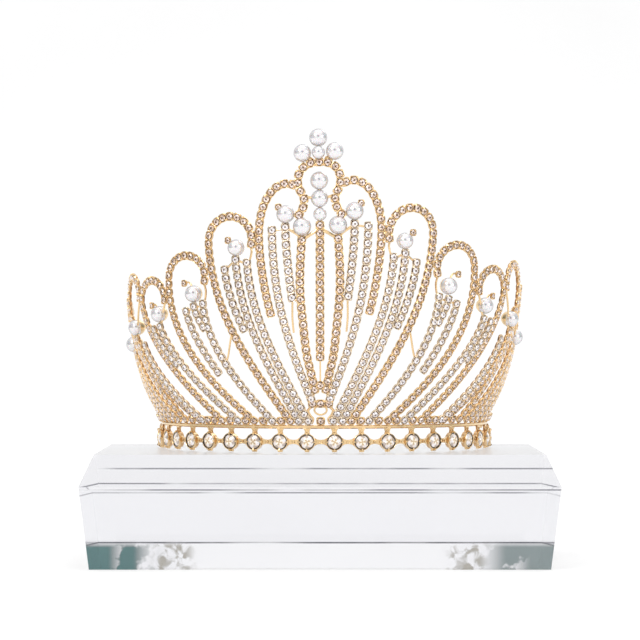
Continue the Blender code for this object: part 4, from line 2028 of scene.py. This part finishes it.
@dataclass(frozen=True)
class Studio:
    """Pale floor and backdrop, soft lights and the camera."""

    camera_height: float = 101.2 * MM
    camera_distance: float = 1.6
    lens: float = 209.3
    sensor: float = 36.0
    floor_tone: float = 0.47
    floor_spread: float = 0.01
    floor_glow: float = 1.16
    floor_front: float = -0.9
    floor_back: float = 1.6
    floor_half_width: float = 3.0
    bend_radius: float = 0.6
    bend_steps: int = 16
    wall_height: float = 3.0
    world_strength: float = 1.05
    side_tones: tuple[tuple[float, Colour], ...] = (
        (0.50, (1.0, 1.0, 1.0)),
        (0.74, (0.55, 0.55, 0.56)),
        (0.97, (0.22, 0.25, 0.25)),
    )
    viewer: Triple = (0.0, -0.951, 0.309)
    viewer_tones: tuple[tuple[float, Colour], ...] = (
        (0.945, (1.0, 1.0, 1.0)),
        (0.963, (0.40, 0.39, 0.43)),
        (0.980, (0.04, 0.04, 0.06)),
    )
    aim: Triple = (0.0, 0.0, 0.09)
    lamps: tuple[Lamp, ...] = (
        Lamp("key", (-0.9, -1.0, 1.1), 0.6, 6.0, (1.0, 0.98, 0.95)),
        Lamp("fill", (1.1, -0.8, 0.5), 0.6, 2.6, (0.96, 0.98, 1.0)),
        Lamp("overhead", (0.0, 0.1, 1.3), 0.8, 2.2, (1.0, 1.0, 1.0)),
        Lamp("rim", (0.5, 0.9, 0.9), 0.5, 1.2, (1.0, 1.0, 1.0)),
    )

    def build(self) -> None:
        """Builds the whole studio."""
        self.floor()
        self.world()
        self.lights()
        self.camera()

    def paper(self) -> bpy.types.Material:
        """The floor's paper, which glows a little.

        Returns:
            The material.
        """
        made, book = start_material("studio_paper")
        low, high = self.floor_tone - self.floor_spread, self.floor_tone
        colour = book.ramp(book.noise(book.place(), 6.0, 2.0), ((0.35, (low,) * 3), (0.65, (high,) * 3)))
        book.surface(
            Base_Color=colour,
            Roughness=0.9,
            Specular_IOR_Level=0.1,
            Emission_Color=colour,
            Emission_Strength=self.floor_glow,
        )
        return made

    def floor(self) -> None:
        """The floor with a backdrop that curves up behind."""
        line = [(self.floor_front, 0.0)]
        for step in range(self.bend_steps + 1):
            turn = math.pi / 2 * step / self.bend_steps
            across = self.floor_back - self.bend_radius + self.bend_radius * math.sin(turn)
            line.append((across, self.bend_radius - self.bend_radius * math.cos(turn)))
        line.append((self.floor_back, self.wall_height))
        points = [(x, y, z) for y, z in line for x in (-self.floor_half_width, self.floor_half_width)]
        faces = [(2 * row, 2 * row + 1, 2 * row + 3, 2 * row + 2) for row in range(len(line) - 1)]
        mesh = bpy.data.meshes.new("studio_sweep")
        mesh.from_pydata(points, [], faces)
        mesh.shade_smooth()
        mesh.materials.append(self.paper())
        sweep = bpy.data.objects.new("studio_sweep", mesh)
        bpy.context.scene.collection.objects.link(sweep)

    def world(self) -> None:
        """Even white surroundings with the dark place where the photographer stands."""
        world = bpy.data.worlds.new("studio_air")
        world.use_nodes = True
        book = NodeBook(world.node_tree)
        way = book.add("ShaderNodeTexCoord").outputs["Generated"]
        parts = book.add("ShaderNodeSeparateXYZ", Vector=way).outputs
        sides = book.ramp(book.math("ABSOLUTE", parts["X"]), self.side_tones)
        facing = book.add("ShaderNodeVectorMath", {"operation": "DOT_PRODUCT"}, i0=way, i1=self.viewer)
        viewer = book.ramp(facing.outputs["Value"], self.viewer_tones)
        seen = book.add("ShaderNodeLightPath").outputs["Is Camera Ray"]
        tone = book.mix(seen, book.mix(1.0, sides, viewer, "MULTIPLY"), (1.0, 1.0, 1.0))
        strength = book.add("ShaderNodeMapRange", Value=seen, To_Min=self.world_strength, To_Max=1.0)
        air = book.add("ShaderNodeBackground", Color=tone, Strength=strength.outputs["Result"])
        book.add("ShaderNodeOutputWorld", Surface=air.outputs[0])
        bpy.context.scene.world = world

    def lights(self) -> None:
        """Large soft lights: key at the top left, fill, overhead and a rim light from behind."""
        for lamp in self.lamps:
            light = bpy.data.lights.new(lamp.name, "AREA")
            light.size = lamp.size
            light.energy = lamp.power
            light.color = lamp.colour
            body = bpy.data.objects.new(lamp.name, light)
            body.matrix_world = self.looking(Vector(lamp.place), Vector(self.aim))
            bpy.context.scene.collection.objects.link(body)

    @staticmethod
    def looking(place: Vector, aim: Vector) -> Matrix:
        """A placement that looks from a place at an aim, as cameras and lights do."""
        turn = (aim - place).to_track_quat("-Z", "Y").to_matrix().to_4x4()
        return Matrix.Translation(place) @ turn

    def camera(self) -> None:
        """The camera, level, a little above the middle of the crown."""
        lens = bpy.data.cameras.new("photo_camera")
        lens.lens = self.lens
        lens.sensor_width = self.sensor
        place = Vector((0.0, WALL.centre_y - self.camera_distance, self.camera_height))
        eye = bpy.data.objects.new("photo_camera", lens)
        eye.matrix_world = self.looking(place, place + Vector((0.0, 1.0, 0.0)))
        bpy.context.scene.collection.objects.link(eye)
        bpy.context.scene.camera = eye
        bpy.context.scene.view_settings.view_transform = "Standard"


def main() -> None:
    """Builds every part in order and reports the pieces."""
    logging.basicConfig(level=logging.INFO, format="%(message)s")
    finishes = Finishes.make()
    pattern = ChainPattern()
    DisplayBlock().build(finishes)
    Band().build(finishes)
    Crest().build(finishes, pattern)
    CentreFan().build(finishes, pattern)
    for fan in FANS:
        fan.build(finishes, pattern)
    RailStones().build(finishes, pattern)
    Pearls().build(finishes)
    Studio().build()


if __name__ == "__main__":
    main()
